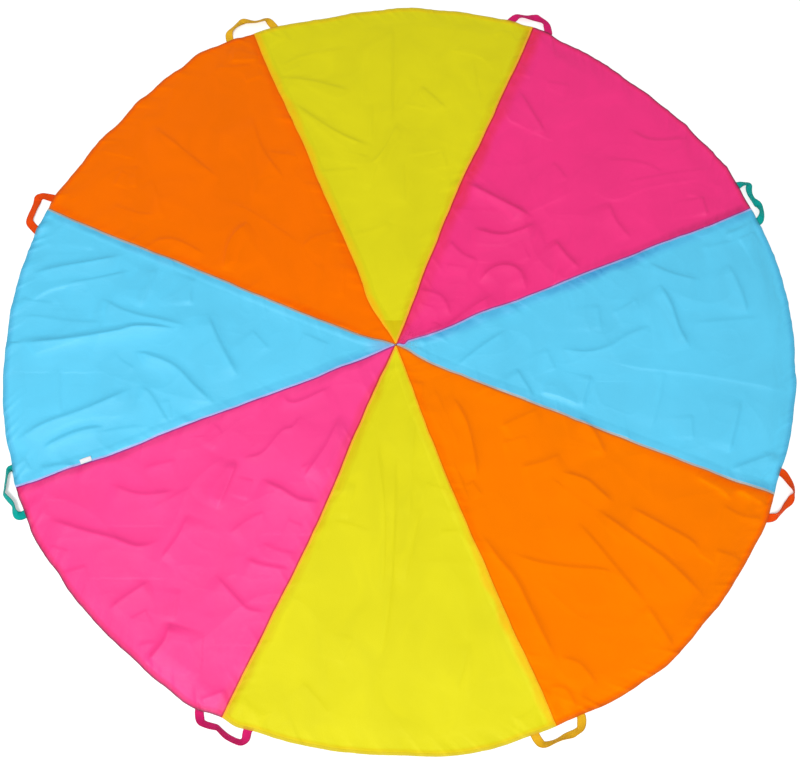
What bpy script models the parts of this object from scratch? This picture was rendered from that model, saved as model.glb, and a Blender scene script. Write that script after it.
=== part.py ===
"""A play parachute, six feet across, lying open on the ground.

Eight cloth gores are sewn edge to edge round the centre. The yellow and blue gores lap over
the pink and orange ones, whose seam allowance runs on underneath. The rim is a narrow turned
hem. A handle of flat webbing straddles the outer end of each seam, with both of its ends sewn
in under the hem. A small bare label is caught in one seam.

The origin is the centre of the canopy on the ground. +Z is up and +Y is the back.
The canopy folds in half along the Y axis, through the middle of both yellow gores, and every
handle swings up and over about the line through its two sewn ends.
"""

import math

import bmesh
import bpy
from mathutils import Vector

# Cloth and rim, in metres
CANOPY_RADIUS = 0.915
CLOTH = 0.0006
SEAT_GAP = 0.0003
CENTRE_EYE_RADIUS = 0.004
SEAM_ALLOWANCE = 0.013
LAP_EASE = 0.001
LAP_STEP = 0.005
HEM_WIDTH = 0.008
HEM_FOLD_STEP = 0.001
HEM_EDGE_ROUND = 0.0008
HEM_SEAM_EASE = 0.002

# Webbing of the handles
WEBBING_WIDTH = 0.019
WEBBING = 0.0014
FOOT_SPACING = 0.110
HANDLE_REACH = 0.045
STRAP_END_LENGTH = 0.035
HEM_TO_HANDLE_AXIS = 0.0015
HANDLE_AXIS_HEIGHT = 0.003
HANDLE_SPLIT = 0.0003
POCKET_EASE = 0.001
POCKET_RAMP = 0.012

# The fold in half
FOLD_SPLIT = 0.0003
FOLD_AXIS_HEIGHT = 0.005

# Stitching and label
STITCH_RADIUS = 0.0004
SEAM_STITCH_INSET = 0.0025
SEAM_STITCH_START = 0.030
SEAM_STITCH_STOP = 0.012
HEM_STITCH_INSET = 0.006
HEM_STITCH_END_GAP = 0.002
LABEL_LENGTH = 0.026
LABEL_WIDTH = 0.011
LABEL = 0.0004
LABEL_LIFT = 0.0015
LABEL_TO_RIM = 0.166
LABEL_SEAM = 4
LABEL_STEPS = 4

# Soft folds in the cloth: how they die away towards seams, rim, centre and fold line
FADE_SEAM_START = 0.020
FADE_SEAM_LENGTH = 0.060
FADE_RIM_START = 0.050
FADE_RIM_LENGTH = 0.060
FADE_CENTRE_START = 0.090
FADE_CENTRE_LENGTH = 0.080
FADE_FOLD_START = 0.008
FADE_FOLD_LENGTH = 0.050
RIDGE_END_SHARE = 0.5

# Shares of half a gore's angle that a column of the cloth's grid never passes near the tip
ALLOWANCE_LIMIT_SHARE = 0.64
OVER_LIMIT_SHARES = (0.0, 0.80, 0.85, 0.90, 0.95)
UNDER_LIMIT_SHARES = (-ALLOWANCE_LIMIT_SHARE, 0.0, 0.60, 0.80, 0.90)
MIDDLE_COLUMN_SHARES = (0.35, 0.68)
INNER_ROW_SHARES = (0.12, 0.21, 0.30, 0.39, 0.48, 0.57, 0.66, 0.74, 0.82, 0.89)

# Eight seams, counter-clockwise from the right: name, and degrees from the X axis at the rim
SEAM_NAMES = (
    "right_back", "back_right", "back_left", "left_back",
    "left_front", "front_left", "front_right", "right_front",
)
SEAM_DEGREES = (22.5, 68.2, 113.7, 157.8, 202.2, 246.7, 292.0, 337.4)
FOLD_BACK_DEGREES = 90.0
FOLD_FRONT_DEGREES = 270.0

# How far each seam bows aside from straight, at these stations from the centre to the rim
SEAM_STATION_SHARES = (0.0, 0.125, 0.25, 0.375, 0.5, 0.625, 0.75, 0.875, 1.0)
SEAM_BOW_SHARES = (
    (0.0, -0.008, -0.002, -0.005, -0.004, -0.004, -0.001, -0.004, 0.0),
    (0.0, 0.003, 0.009, 0.012, 0.013, 0.008, 0.004, 0.001, 0.0),
    (0.0, 0.017, 0.008, 0.007, 0.006, 0.002, 0.003, 0.003, 0.0),
    (0.0, 0.009, 0.012, 0.010, 0.006, 0.004, 0.003, 0.002, 0.0),
    (0.0, 0.003, 0.006, 0.006, 0.003, 0.004, 0.006, -0.001, 0.0),
    (0.0, -0.001, 0.002, 0.008, 0.010, 0.008, 0.005, 0.002, 0.0),
    (0.0, -0.003, -0.009, -0.011, -0.009, -0.008, -0.006, 0.0, 0.0),
    (0.0, -0.012, -0.011, -0.009, -0.008, -0.007, -0.005, -0.005, 0.0),
)

# The rim wanders a little: what its radius gains at even angles from the X axis
RIM_GAIN_SHARES = (
    0.011, 0.013, 0.008, 0.008, -0.002, 0.000, 0.009, 0.003,
    0.000, -0.015, -0.004, 0.011, -0.008, -0.014, -0.008, -0.010,
    -0.012, -0.007, -0.002, -0.003, -0.008, -0.002, 0.003, -0.004,
    -0.005, 0.006, 0.003, 0.012, 0.012, 0.005, 0.001, 0.006,
)

# Main folds of the cloth: start and end as shares of the radius, half width and height in metres
FOLD_SHARES = (
    ((0.12, 0.40), (0.40, 0.33)),
    ((0.22, 0.27), (0.46, 0.56)),
    ((-0.94, 0.09), (-0.44, 0.03)),
    ((-0.84, -0.12), (-0.40, -0.06)),
    ((-0.76, -0.56), (-0.40, -0.60)),
    ((-0.20, -0.34), (-0.50, -0.42)),
    ((0.20, -0.20), (0.62, -0.68)),
    ((0.42, -0.66), (0.74, -0.50)),
    ((0.42, 0.02), (0.84, 0.08)),
    ((-0.12, 0.88), (-0.11, 0.34)),
    ((0.15, 0.80), (0.13, 0.42)),
    ((-0.30, 0.42), (-0.62, 0.66)),
    ((0.12, -0.42), (0.14, -0.80)),
    ((-0.15, -0.86), (-0.11, -0.46)),
)
FOLD_HALF_WIDTHS = (
    0.060, 0.055, 0.060, 0.050, 0.060, 0.055, 0.060, 0.055, 0.060, 0.050, 0.050, 0.060, 0.050, 0.050,
)
FOLD_HEIGHTS = (
    0.006, 0.004, 0.006, 0.004, 0.006, 0.004, 0.006, 0.004, 0.005, 0.004, 0.003, 0.005, 0.003, 0.004,
)

# Gores, counter-clockwise: name, cloth, whether it laps over, halves' sides, first seam
GORES = (
    ("gore_blue_right", "blue", True, "right", 7),
    ("gore_pink_back_right", "pink", False, "right", 0),
    ("gore_yellow_back", "yellow", True, "split", 1),
    ("gore_orange_back_left", "orange", False, "left", 2),
    ("gore_blue_left", "blue", True, "left", 3),
    ("gore_pink_front_left", "pink", False, "left", 4),
    ("gore_yellow_front", "yellow", True, "split", 5),
    ("gore_orange_front_right", "orange", False, "right", 6),
)

# Handles: name, webbing, shift of the pair of ends round the rim as a share of their spacing,
# and the loop from its first end to its last as shares of half the spacing and of the reach,
# with the tilt of the webbing from flat in degrees: below nought the inner edge stands up
HANDLES = (
    ("handle_teal_right", "teal", 0.10, (
        (1.00, 0.00, 0), (0.98, 0.34, -8), (0.78, 0.62, -40), (0.52, 0.44, -48), (0.24, 0.38, -42),
        (-0.12, 0.40, -28), (-0.42, 0.48, -22), (-0.74, 0.50, -42), (-0.97, 0.28, -12),
        (-1.00, 0.00, 0))),
    ("handle_pink_back", "pink", 0.08, (
        (1.00, 0.00, 0), (0.96, 0.22, -10), (0.70, 0.46, -40), (0.22, 0.56, -36), (-0.20, 0.64, -26),
        (-0.72, 0.50, -42), (-0.97, 0.26, -12), (-1.00, 0.00, 0))),
    ("handle_amber_back", "amber", 0.06, (
        (1.00, 0.00, 0), (1.00, 0.34, -10), (0.78, 0.68, -38), (0.16, 0.88, -22), (-0.35, 0.68, -46),
        (-0.80, 0.56, -36), (-0.99, 0.28, -10), (-1.00, 0.00, 0))),
    ("handle_red_left", "red", 0.12, (
        (1.00, 0.00, 0), (0.96, 0.28, -10), (0.70, 0.54, -42), (0.34, 0.62, -44), (-0.12, 0.66, -38),
        (-0.60, 0.78, -38), (-0.92, 0.50, -26), (-1.00, 0.22, -6), (-1.00, 0.00, 0))),
    ("handle_teal_left", "teal", 0.08, (
        (1.00, 0.00, 0), (1.00, 0.26, -10), (0.82, 0.46, -42), (0.50, 0.42, -50), (0.20, 0.50, -44),
        (-0.22, 0.58, -40), (-0.68, 0.44, -44), (-0.96, 0.20, -12), (-1.00, 0.00, 0))),
    ("handle_pink_front", "pink", 0.05, (
        (1.00, 0.00, 0), (1.02, 0.30, -10), (0.88, 0.58, -48), (0.50, 0.58, -54), (0.06, 0.44, -62),
        (-0.40, 0.50, -54), (-0.78, 0.58, -48), (-0.99, 0.30, -12), (-1.00, 0.00, 0))),
    ("handle_amber_front", "amber", 0.04, (
        (1.00, 0.00, 0), (0.97, 0.26, -12), (0.76, 0.50, -48), (0.38, 0.56, -54), (-0.12, 0.50, -62),
        (-0.52, 0.56, -52), (-0.88, 0.54, -44), (-1.01, 0.28, -10), (-1.00, 0.00, 0))),
    ("handle_red_right", "red", -0.01, (
        (1.00, 0.00, 0), (0.99, 0.28, -12), (0.76, 0.58, -42), (0.40, 0.86, -48), (0.04, 0.84, -30),
        (-0.42, 0.66, -26), (-0.84, 0.52, -44), (-1.01, 0.26, -12), (-1.00, 0.00, 0))),
)
LOOP_STEPS = 26

# Passes that settle a radius and an angle that depend on each other
SETTLING_PASSES = 3

# Linear colours and roughness of each material
MATERIALS = {
    "yellow": ((0.78, 0.73, 0.02), 0.45),
    "orange": ((1.00, 0.21, 0.006), 0.45),
    "pink": ((0.95, 0.06, 0.27), 0.45),
    "blue": ((0.13, 0.62, 0.93), 0.45),
    "amber": ((0.82, 0.42, 0.02), 0.65),
    "red": ((0.80, 0.06, 0.008), 0.65),
    "teal": ((0.005, 0.30, 0.30), 0.65),
    "webbing_pink": ((0.65, 0.02, 0.14), 0.65),
    "white": ((0.85, 0.85, 0.85), 0.60),
}

# Worked out from the sizes above
LAP_HEIGHT = CLOTH + SEAT_GAP
POCKET_HEIGHT = WEBBING + SEAT_GAP
HALF_WEBBING = WEBBING_WIDTH / 2
SEAM_ANGLES = tuple(math.radians(degrees) for degrees in SEAM_DEGREES)
FOLD_BACK_ANGLE = math.radians(FOLD_BACK_DEGREES)
FOLD_FRONT_ANGLE = math.radians(FOLD_FRONT_DEGREES)
LABEL_RADIUS = CANOPY_RADIUS - LABEL_TO_RIM


def fade(value, start, length):
    """Nought below start, one past start and length, smooth between them."""
    share = min(max((value - start) / length, 0.0), 1.0)
    return share * share * (3.0 - 2.0 * share)


def rim_radius(angle):
    """The radius of the rim at an angle, eased between the table's places."""
    count = len(RIM_GAIN_SHARES)
    place = (angle / math.tau) % 1.0 * count
    index = int(place)
    mix = fade(place - index, 0.0, 1.0)
    low = RIM_GAIN_SHARES[index % count]
    high = RIM_GAIN_SHARES[(index + 1) % count]
    return CANOPY_RADIUS * (1.0 + low + (high - low) * mix)


def on_ray(radius, angle, height=0.0):
    """The point at a radius and an angle about the centre."""
    return Vector((radius * math.cos(angle), radius * math.sin(angle), height))


def seam_angle(seam, radius):
    """The angle of a seam at a radius, bow and all."""
    shares = SEAM_BOW_SHARES[seam]
    place = min(radius / CANOPY_RADIUS, 1.0)
    index = sum(place >= station for station in SEAM_STATION_SHARES[1:-1])
    start, end = SEAM_STATION_SHARES[index:index + 2]
    mix = fade(place, start, end - start)
    bow = shares[index] + (shares[index + 1] - shares[index]) * mix
    return SEAM_ANGLES[seam] + bow * CANOPY_RADIUS / radius


def ridge(point, start, end, half_width):
    """One fold: one along its crest, falling to nought at its sides and ends."""
    run = end - start
    length = run.length
    along = (point - start).dot(run) / (length * length)
    across = abs((point - start).cross(run)) / length
    side = max(0.0, 1.0 - across / half_width)
    ends = max(0.0, 1.0 - abs(2.0 * along - 1.0))
    return fade(side, 0.0, 1.0) * fade(ends, 0.0, RIDGE_END_SHARE)


def fold_height(radius, angle):
    """How far the soft folds lift the cloth there."""
    point = on_ray(radius, angle).to_2d()
    turns = [angle - seam_angle(seam, radius) for seam in range(len(SEAM_ANGLES))]
    off_seam = min(abs(radius * math.sin(turn)) for turn in turns if math.cos(turn) > 0.0)
    damping = (
        fade(off_seam, FADE_SEAM_START, FADE_SEAM_LENGTH)
        * fade(rim_radius(angle) - radius, FADE_RIM_START, FADE_RIM_LENGTH)
        * fade(radius, FADE_CENTRE_START, FADE_CENTRE_LENGTH)
        * fade(abs(point.x), FADE_FOLD_START, FADE_FOLD_LENGTH)
    )
    height = 0.0
    for shares, half_width, crest in zip(FOLD_SHARES, FOLD_HALF_WIDTHS, FOLD_HEIGHTS):
        start = Vector(shares[0]) * CANOPY_RADIUS
        end = Vector(shares[1]) * CANOPY_RADIUS
        height = max(height, crest * ridge(point, start, end, half_width))
    return height * damping


class Column:
    """One line of the cloth's grid, from the tip of a gore to its rim."""

    def __init__(self, angle_at, lap=0.0, hem=1.0, pocket=0.0):
        self.angle_at = angle_at
        self.lap = lap
        self.hem = hem
        self.pocket = pocket


def edge_columns(seam, centre_angle, laps_over, foot):
    """The columns beside a seam, from the cloth's edge inwards, then those of the middle.

    foot is the distance from the seam to the middle of the strap end under the hem.
    """
    turn = 1.0 if centre_angle > SEAM_ANGLES[seam] else -1.0
    pocket_start = foot - HALF_WEBBING - POCKET_EASE
    pocket_end = foot + HALF_WEBBING + POCKET_EASE
    if laps_over:
        lap_end = SEAM_ALLOWANCE + LAP_EASE
        offsets = (0.0, lap_end, lap_end + LAP_STEP, pocket_start, pocket_end)
        limit_shares = OVER_LIMIT_SHARES
        laps = (1.0, 1.0, 0.0, 0.0, 0.0)
        hems = (1.0, 1.0, 1.0, 1.0, 1.0)
    else:
        offsets = (-SEAM_ALLOWANCE, 0.0, HEM_SEAM_EASE, pocket_start, pocket_end)
        limit_shares = UNDER_LIMIT_SHARES
        laps = (0.0, 0.0, 0.0, 0.0, 0.0)
        hems = (0.0, 0.0, 1.0, 1.0, 1.0)
    pockets = (0.0, 0.0, 0.0, 1.0, 1.0)

    def beside_seam(offset, limit_share):
        def angle_at(radius):
            line = seam_angle(seam, radius)
            limit = abs(limit_share * (centre_angle - line))
            swing = math.copysign(min(abs(offset) / radius, limit), offset)
            return line + turn * swing
        return angle_at

    columns = [
        Column(beside_seam(offset, limit), lap, hem, pocket)
        for offset, limit, lap, hem, pocket in zip(offsets, limit_shares, laps, hems, pockets)
    ]
    last_angle_at = columns[-1].angle_at

    def in_middle(share):
        def angle_at(radius):
            last = last_angle_at(radius)
            return last + (centre_angle - last) * share
        return angle_at

    return columns + [Column(in_middle(share)) for share in MIDDLE_COLUMN_SHARES]


def edge_columns_from(seam, counted_angle, middle, laps_over, foot):
    """The columns beside a seam, with its angle counted from the same turn as the middle."""
    turn = counted_angle - SEAM_ANGLES[seam]
    columns = edge_columns(seam, middle - turn, laps_over, foot)
    if turn:
        for column in columns:
            column.angle_at = shifted(column.angle_at, turn)
    return columns


def shifted(angle_at, turn):
    """The same column, its angle counted from another turn."""
    return lambda radius: angle_at(radius) + turn


def centre_column(centre_angle, turn):
    """The last column: a gore's middle when turn is nought, or else its edge at the fold."""
    def angle_at(radius):
        return centre_angle + turn * math.asin(FOLD_SPLIT / 2 / radius)
    return Column(angle_at)


def row_places():
    """The rows from tip to rim: radius from share or inset, and share of pocket and hem."""
    full_allowance = SEAM_ALLOWANCE / (ALLOWANCE_LIMIT_SHARE * math.pi / len(SEAM_ANGLES))
    pocket_inset = STRAP_END_LENGTH + POCKET_EASE
    rows = [
        (lambda angle: CENTRE_EYE_RADIUS, 0.0, 0.0),
        (lambda angle: full_allowance, 0.0, 0.0),
    ]
    for share in INNER_ROW_SHARES:
        rows.append((lambda angle, share=share: share * rim_radius(angle), 0.0, 0.0))
    outer = (
        (pocket_inset + POCKET_RAMP, 0.0, 0.0),
        (pocket_inset, 1.0, 0.0),
        (HEM_WIDTH + HEM_FOLD_STEP, 1.0, 0.0),
        (HEM_WIDTH, 1.0, 1.0),
        (HEM_EDGE_ROUND, 1.0, 1.0),
        (0.0, 1.0, 0.5),
    )
    for inset, pocket, hem in outer:
        rows.append((lambda angle, inset=inset: rim_radius(angle) - inset, pocket, hem))
    return rows


def cloth_heights(radius, angle, column, pocket, hem):
    """The underside and the top of the cloth at one point of the grid."""
    under = column.lap * LAP_HEIGHT + column.pocket * pocket * POCKET_HEIGHT
    under += fold_height(radius, angle)
    return under, under + CLOTH * (1.0 + column.hem * hem)


def settled_radius(radius_at, column):
    """The radius of a row on a column, whose angle and rim radius depend on each other."""
    radius = radius_at(column.angle_at(CANOPY_RADIUS))
    for _ in range(SETTLING_PASSES):
        radius = radius_at(column.angle_at(radius))
    return radius


def make_gore(name, columns):
    """A gore: a flat grid thickened by an extrusion and laid out on its rows and columns."""
    rows = row_places()
    mesh = bpy.data.meshes.new(name)
    model = bmesh.new()
    row_steps = len(rows) - 1
    column_steps = len(columns) - 1
    bmesh.ops.create_grid(model, x_segments=row_steps, y_segments=column_steps, size=1.0)
    raised = bmesh.ops.extrude_face_region(model, geom=model.faces[:])["geom"]
    raised = {item for item in raised if isinstance(item, bmesh.types.BMVert)}
    for vertex in raised:
        vertex.co.z = 1.0
    bmesh.ops.recalc_face_normals(model, faces=model.faces[:])
    for vertex in model.verts:
        radius_at, pocket, hem = rows[round((vertex.co.x + 1.0) / 2.0 * row_steps)]
        column = columns[round((vertex.co.y + 1.0) / 2.0 * column_steps)]
        radius = settled_radius(radius_at, column)
        angle = column.angle_at(radius)
        heights = cloth_heights(radius, angle, column, pocket, hem)
        vertex.co = on_ray(radius, angle, heights[vertex in raised])
    model.to_mesh(mesh)
    model.free()
    return bpy.data.objects.new(name, mesh)


def make_tube(name, points):
    """A line of stitching as a thin four-sided tube along its points."""
    curve = bpy.data.curves.new(name, "CURVE")
    curve.dimensions = "3D"
    curve.bevel_depth = STITCH_RADIUS
    curve.bevel_resolution = 0
    curve.use_fill_caps = True
    spline = curve.splines.new("POLY")
    spline.points.add(len(points) - 1)
    for place, point in zip(spline.points, points):
        place.co = (*point, 1.0)
    return bpy.data.objects.new(name, curve)


def make_hem_stitch(name, columns, start_angle, end_angle):
    """The stitching that holds down the hem of one gore, between two angles."""
    inset_radius = lambda angle: rim_radius(angle) - HEM_STITCH_INSET
    places = []
    for column in columns:
        radius = settled_radius(inset_radius, column)
        angle = column.angle_at(radius)
        top = cloth_heights(radius, angle, column, 1.0, 1.0)[1]
        places.append((angle, top))
    inner = [place for place in places if start_angle < place[0] < end_angle]
    first = (start_angle, inner[0][1] if places[0][0] < start_angle else places[0][1])
    last = (end_angle, inner[-1][1] if places[-1][0] > end_angle else places[-1][1])
    rise = SEAT_GAP + STITCH_RADIUS
    points = [on_ray(inset_radius(angle), angle, top + rise) for angle, top in [first, *inner, last]]
    return make_tube(name, points)


def make_seam_stitch(name, seam, laps_ahead):
    """The stitching along one seam, on the cloth that laps over."""
    inset = SEAM_STITCH_INSET if laps_ahead else -SEAM_STITCH_INSET
    height = LAP_HEIGHT + CLOTH + SEAT_GAP + STITCH_RADIUS
    rim = rim_radius(SEAM_ANGLES[seam])
    rows = [share * rim for share in INNER_ROW_SHARES if share * rim > SEAM_STITCH_START]
    points = []
    for radius in [SEAM_STITCH_START, *rows, rim - SEAM_STITCH_STOP]:
        points.append(on_ray(radius, seam_angle(seam, radius) + inset / radius, height))
    return make_tube(name, points)


def loop_station(shares, share):
    """A point of a handle's loop, read from a smooth curve through its stations."""
    place = share * (len(shares) - 1)
    index = min(int(place), len(shares) - 2)
    mix = place - index
    before = Vector(shares[max(index - 1, 0)])
    start = Vector(shares[index])
    end = Vector(shares[index + 1])
    after = Vector(shares[min(index + 2, len(shares) - 1)])
    lead = (end - before) / 2
    trail = (after - start) / 2
    square = mix * mix
    cube = square * mix
    return (
        start * (2 * cube - 3 * square + 1)
        + lead * (cube - 2 * square + mix)
        + end * (3 * square - 2 * cube)
        + trail * (cube - square)
    )


def make_loop(name, shares):
    """A handle's loop: a ribbon that leaves its axis flat, turns on edge and comes back.

    Its own X axis points out from the canopy, Y along the rim, and its origin is on the axis
    between its two ends.
    """
    centres = []
    tilts = []
    for step in range(LOOP_STEPS + 1):
        along, out, tilt = loop_station(shares, step / LOOP_STEPS)
        tilt = math.radians(tilt)
        out = HANDLE_SPLIT / 2 + max(out, 0.0) * HANDLE_REACH
        rise = HALF_WEBBING * abs(math.sin(tilt)) + WEBBING / 2 * math.cos(tilt)
        centres.append(Vector((out, along * FOOT_SPACING / 2, rise - HANDLE_AXIS_HEIGHT)))
        tilts.append(tilt)
    mesh = bpy.data.meshes.new(name)
    model = bmesh.new()
    bmesh.ops.create_grid(model, x_segments=LOOP_STEPS, y_segments=1, size=1.0)
    for vertex in model.verts:
        step = round((vertex.co.x + 1.0) / 2.0 * LOOP_STEPS)
        side = round(vertex.co.y)
        if step in (0, LOOP_STEPS):
            heading = Vector((1.0 if step == 0 else -1.0, 0.0, 0.0))
        else:
            heading = centres[step + 1] - centres[step - 1]
            heading.z = 0.0
            heading.normalize()
        level = Vector((-heading.y, heading.x, 0.0))
        ruling = level * math.cos(tilts[step]) + Vector((0.0, 0.0, math.sin(tilts[step])))
        vertex.co = centres[step] + ruling * side * HALF_WEBBING
    model.to_mesh(mesh)
    model.free()
    loop = bpy.data.objects.new(name, mesh)
    thicken = loop.modifiers.new("webbing", "SOLIDIFY")
    thicken.thickness = WEBBING
    thicken.offset = 0.0
    return loop


def make_box(name, length, width, height):
    """A block that reaches back from its origin along X, centred across, standing on Z nought."""
    mesh = bpy.data.meshes.new(name)
    model = bmesh.new()
    bmesh.ops.create_cube(model, size=1.0)
    for vertex in model.verts:
        vertex.co.x = (vertex.co.x - 0.5) * length
        vertex.co.y = vertex.co.y * width
        vertex.co.z = (vertex.co.z + 0.5) * height
    model.to_mesh(mesh)
    model.free()
    return bpy.data.objects.new(name, mesh)


def make_label(name):
    """The bare label: a short tape whose free edge curls up a little."""
    mesh = bpy.data.meshes.new(name)
    model = bmesh.new()
    bmesh.ops.create_grid(model, x_segments=1, y_segments=LABEL_STEPS, size=1.0)
    for vertex in model.verts:
        share = (vertex.co.y + 1.0) / 2.0
        curl = share * share * LABEL_LIFT
        vertex.co = Vector((vertex.co.x * LABEL_LENGTH / 2, share * LABEL_WIDTH, LABEL / 2 + curl))
    model.to_mesh(mesh)
    model.free()
    label = bpy.data.objects.new(name, mesh)
    thicken = label.modifiers.new("tape", "SOLIDIFY")
    thicken.thickness = LABEL
    thicken.offset = 0.0
    return label


def make_material(name):
    """A plain finish for one cloth, webbing or thread."""
    colour, roughness = MATERIALS[name]
    material = bpy.data.materials.new(name)
    material.use_nodes = True
    shader = material.node_tree.nodes["Principled BSDF"]
    shader.inputs["Base Color"].default_value = (*colour, 1.0)
    shader.inputs["Roughness"].default_value = roughness
    shader.inputs["Metallic"].default_value = 0.0
    return material


def put(item, collection, material, parent, place=None, turn=0.0):
    """Give a piece its material, and set it at a place in the world under its parent."""
    place = Vector((0.0, 0.0, 0.0)) if place is None else place
    if material is not None:
        item.data.materials.append(material)
    collection.objects.link(item)
    if parent is not None:
        item.parent = parent
        place = place - parent.location
    item.location = place
    item.rotation_euler.z = turn


def main():
    """Build the parachute."""
    for item in list(bpy.data.objects):
        bpy.data.objects.remove(item, do_unlink=True)
    collection = bpy.data.collections.new("play_parachute")
    bpy.context.scene.collection.children.link(collection)
    materials = {name: make_material(name) for name in MATERIALS}
    halves = {"left": bpy.data.objects.new("canopy_left_rest", None)}
    halves["right"] = bpy.data.objects.new("canopy_right_fold_axis", None)
    put(halves["left"], collection, None, None)
    put(halves["right"], collection, None, None, Vector((0.0, 0.0, FOLD_AXIS_HEIGHT)))
    make_gores(collection, materials, halves)
    make_seams(collection, materials, halves)
    make_handles(collection, materials, halves)
    label = make_label("care_label")
    label_angle = seam_angle(LABEL_SEAM, LABEL_RADIUS)
    label_height = LAP_HEIGHT + CLOTH + SEAT_GAP + STITCH_RADIUS * 2 + SEAT_GAP
    place = on_ray(LABEL_RADIUS, label_angle, label_height)
    put(label, collection, materials["white"], halves["left"], place, label_angle + math.pi)


def foot_distance(seam, ahead):
    """From a seam to the middle of the strap end that lies ahead of it or behind it."""
    shift = HANDLES[seam][2] * FOOT_SPACING
    return FOOT_SPACING / 2 + (shift if ahead else -shift)


def make_gores(collection, materials, halves):
    """The eight gores, the yellow ones as two halves each, with the stitching of their hems."""
    stitch_swing = HEM_STITCH_END_GAP / CANOPY_RADIUS
    for name, cloth, laps_over, side, seam in GORES:
        next_seam = (seam + 1) % len(SEAM_ANGLES)
        start = SEAM_ANGLES[seam]
        end = SEAM_ANGLES[next_seam]
        if end < start:
            start -= math.tau
        middle = (start + end) / 2
        if side == "split":
            middle = FOLD_BACK_ANGLE if middle < math.pi else FOLD_FRONT_ANGLE
        first = edge_columns_from(seam, start, middle, laps_over, foot_distance(seam, True))
        last = edge_columns_from(next_seam, end, middle, laps_over, foot_distance(next_seam, False))
        last.reverse()
        if side == "split":
            sides = ("right", "left") if middle < math.pi else ("left", "right")
            pieces = (
                (sides[0], first + [centre_column(middle, -1.0)], start, middle),
                (sides[1], [centre_column(middle, 1.0)] + last, middle, end),
            )
        else:
            pieces = ((side, first + [centre_column(middle, 0.0)] + last, start, end),)
        for half, columns, piece_start, piece_end in pieces:
            piece_name = f"{name}_{half}" if side == "split" else name
            gore = make_gore(piece_name, columns)
            put(gore, collection, materials[cloth], halves[half])
            stitch_name = piece_name.replace("gore", "hem_stitch")
            span = (piece_start + stitch_swing, piece_end - stitch_swing)
            stitch = make_hem_stitch(stitch_name, columns, *span)
            put(stitch, collection, materials[cloth], halves[half])


def make_seams(collection, materials, halves):
    """The stitching of the eight seams."""
    for seam, angle in enumerate(SEAM_ANGLES):
        ahead = GORES[(seam + 1) % len(GORES)]
        behind = GORES[seam]
        over = ahead if ahead[2] else behind
        name = f"seam_stitch_{SEAM_NAMES[seam]}"
        half = "right" if math.cos(angle) > 0.0 else "left"
        stitch = make_seam_stitch(name, seam, ahead[2])
        put(stitch, collection, materials[over[1]], halves[half])


def handle_axis(seam):
    """The middle of a handle's axis on the ground, and the angle that it faces.

    The axis runs just outside the rim, through the places where the two ends are sewn.
    """
    angle = SEAM_ANGLES[seam]
    along = on_ray(1.0, angle + math.pi / 2)
    middle = on_ray(rim_radius(angle), angle) + along * HANDLES[seam][2] * FOOT_SPACING
    feet = []
    for side in (1.0, -1.0):
        foot = middle + along * side * FOOT_SPACING / 2
        foot_angle = math.atan2(foot.y, foot.x)
        feet.append(on_ray(rim_radius(foot_angle) + HEM_TO_HANDLE_AXIS, foot_angle))
    line = feet[0] - feet[1]
    return (feet[0] + feet[1]) / 2, math.atan2(-line.x, line.y)


def make_handles(collection, materials, halves):
    """The eight handles: a swinging loop each, and its two ends sewn in under the hem."""
    for seam, (name, webbing, _, shares) in enumerate(HANDLES):
        half = halves["right" if math.cos(SEAM_ANGLES[seam]) > 0.0 else "left"]
        material = materials["webbing_pink" if webbing == "pink" else webbing]
        middle, angle = handle_axis(seam)
        pivot = bpy.data.objects.new(f"{name}_axis", None)
        put(pivot, collection, None, half, middle + Vector((0.0, 0.0, HANDLE_AXIS_HEIGHT)), angle)
        loop = make_loop(name, shares)
        put(loop, collection, material, None)
        loop.parent = pivot
        inner = on_ray(-HANDLE_SPLIT / 2, angle)
        along = on_ray(FOOT_SPACING / 2, angle + math.pi / 2)
        for end_name, side in (("a", 1.0), ("b", -1.0)):
            end = make_box(f"{name}_end_{end_name}", STRAP_END_LENGTH, WEBBING_WIDTH, WEBBING)
            put(end, collection, material, half, middle + inner + along * side, angle)


main()
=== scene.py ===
"""The looks of a play parachute that lies open on a white floor.

Eight gores of thin cloth with their turned hems, lapped seams and creases, eight handles of flat
webbing, the thread of every seam and hem, and one bare label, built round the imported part.
"""

import math

import bpy
import numpy as np
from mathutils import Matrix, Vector


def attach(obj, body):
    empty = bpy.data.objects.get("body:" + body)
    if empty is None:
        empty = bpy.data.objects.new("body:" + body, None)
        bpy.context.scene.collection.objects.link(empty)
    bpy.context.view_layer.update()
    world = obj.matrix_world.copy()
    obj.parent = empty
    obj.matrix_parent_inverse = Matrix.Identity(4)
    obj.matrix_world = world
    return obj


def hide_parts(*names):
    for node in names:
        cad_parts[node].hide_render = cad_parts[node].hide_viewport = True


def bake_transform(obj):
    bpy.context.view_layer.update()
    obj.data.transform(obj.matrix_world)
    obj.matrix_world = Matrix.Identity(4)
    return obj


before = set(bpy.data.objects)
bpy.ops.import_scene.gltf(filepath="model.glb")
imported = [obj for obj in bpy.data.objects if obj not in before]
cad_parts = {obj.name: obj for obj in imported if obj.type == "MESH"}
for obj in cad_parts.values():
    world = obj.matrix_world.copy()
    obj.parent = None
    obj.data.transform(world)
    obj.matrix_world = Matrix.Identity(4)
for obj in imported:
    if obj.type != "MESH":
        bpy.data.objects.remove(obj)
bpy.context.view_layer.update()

# The photograph's camera: pixels of its frame, then real sizes
IMAGE_WIDTH_PX = 800.0
IMAGE_HEIGHT_PX = 761.0
SENSOR_WIDTH_MM = 36.0
LENS_MM = 54.66
CAMERA_TARGET = Vector((0.0103, -0.0871, 0.0))
CAMERA_DISTANCE = 2.7916
CAMERA_AZIMUTH = math.radians(0.34)
CAMERA_ELEVATION = math.radians(71.79)
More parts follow.
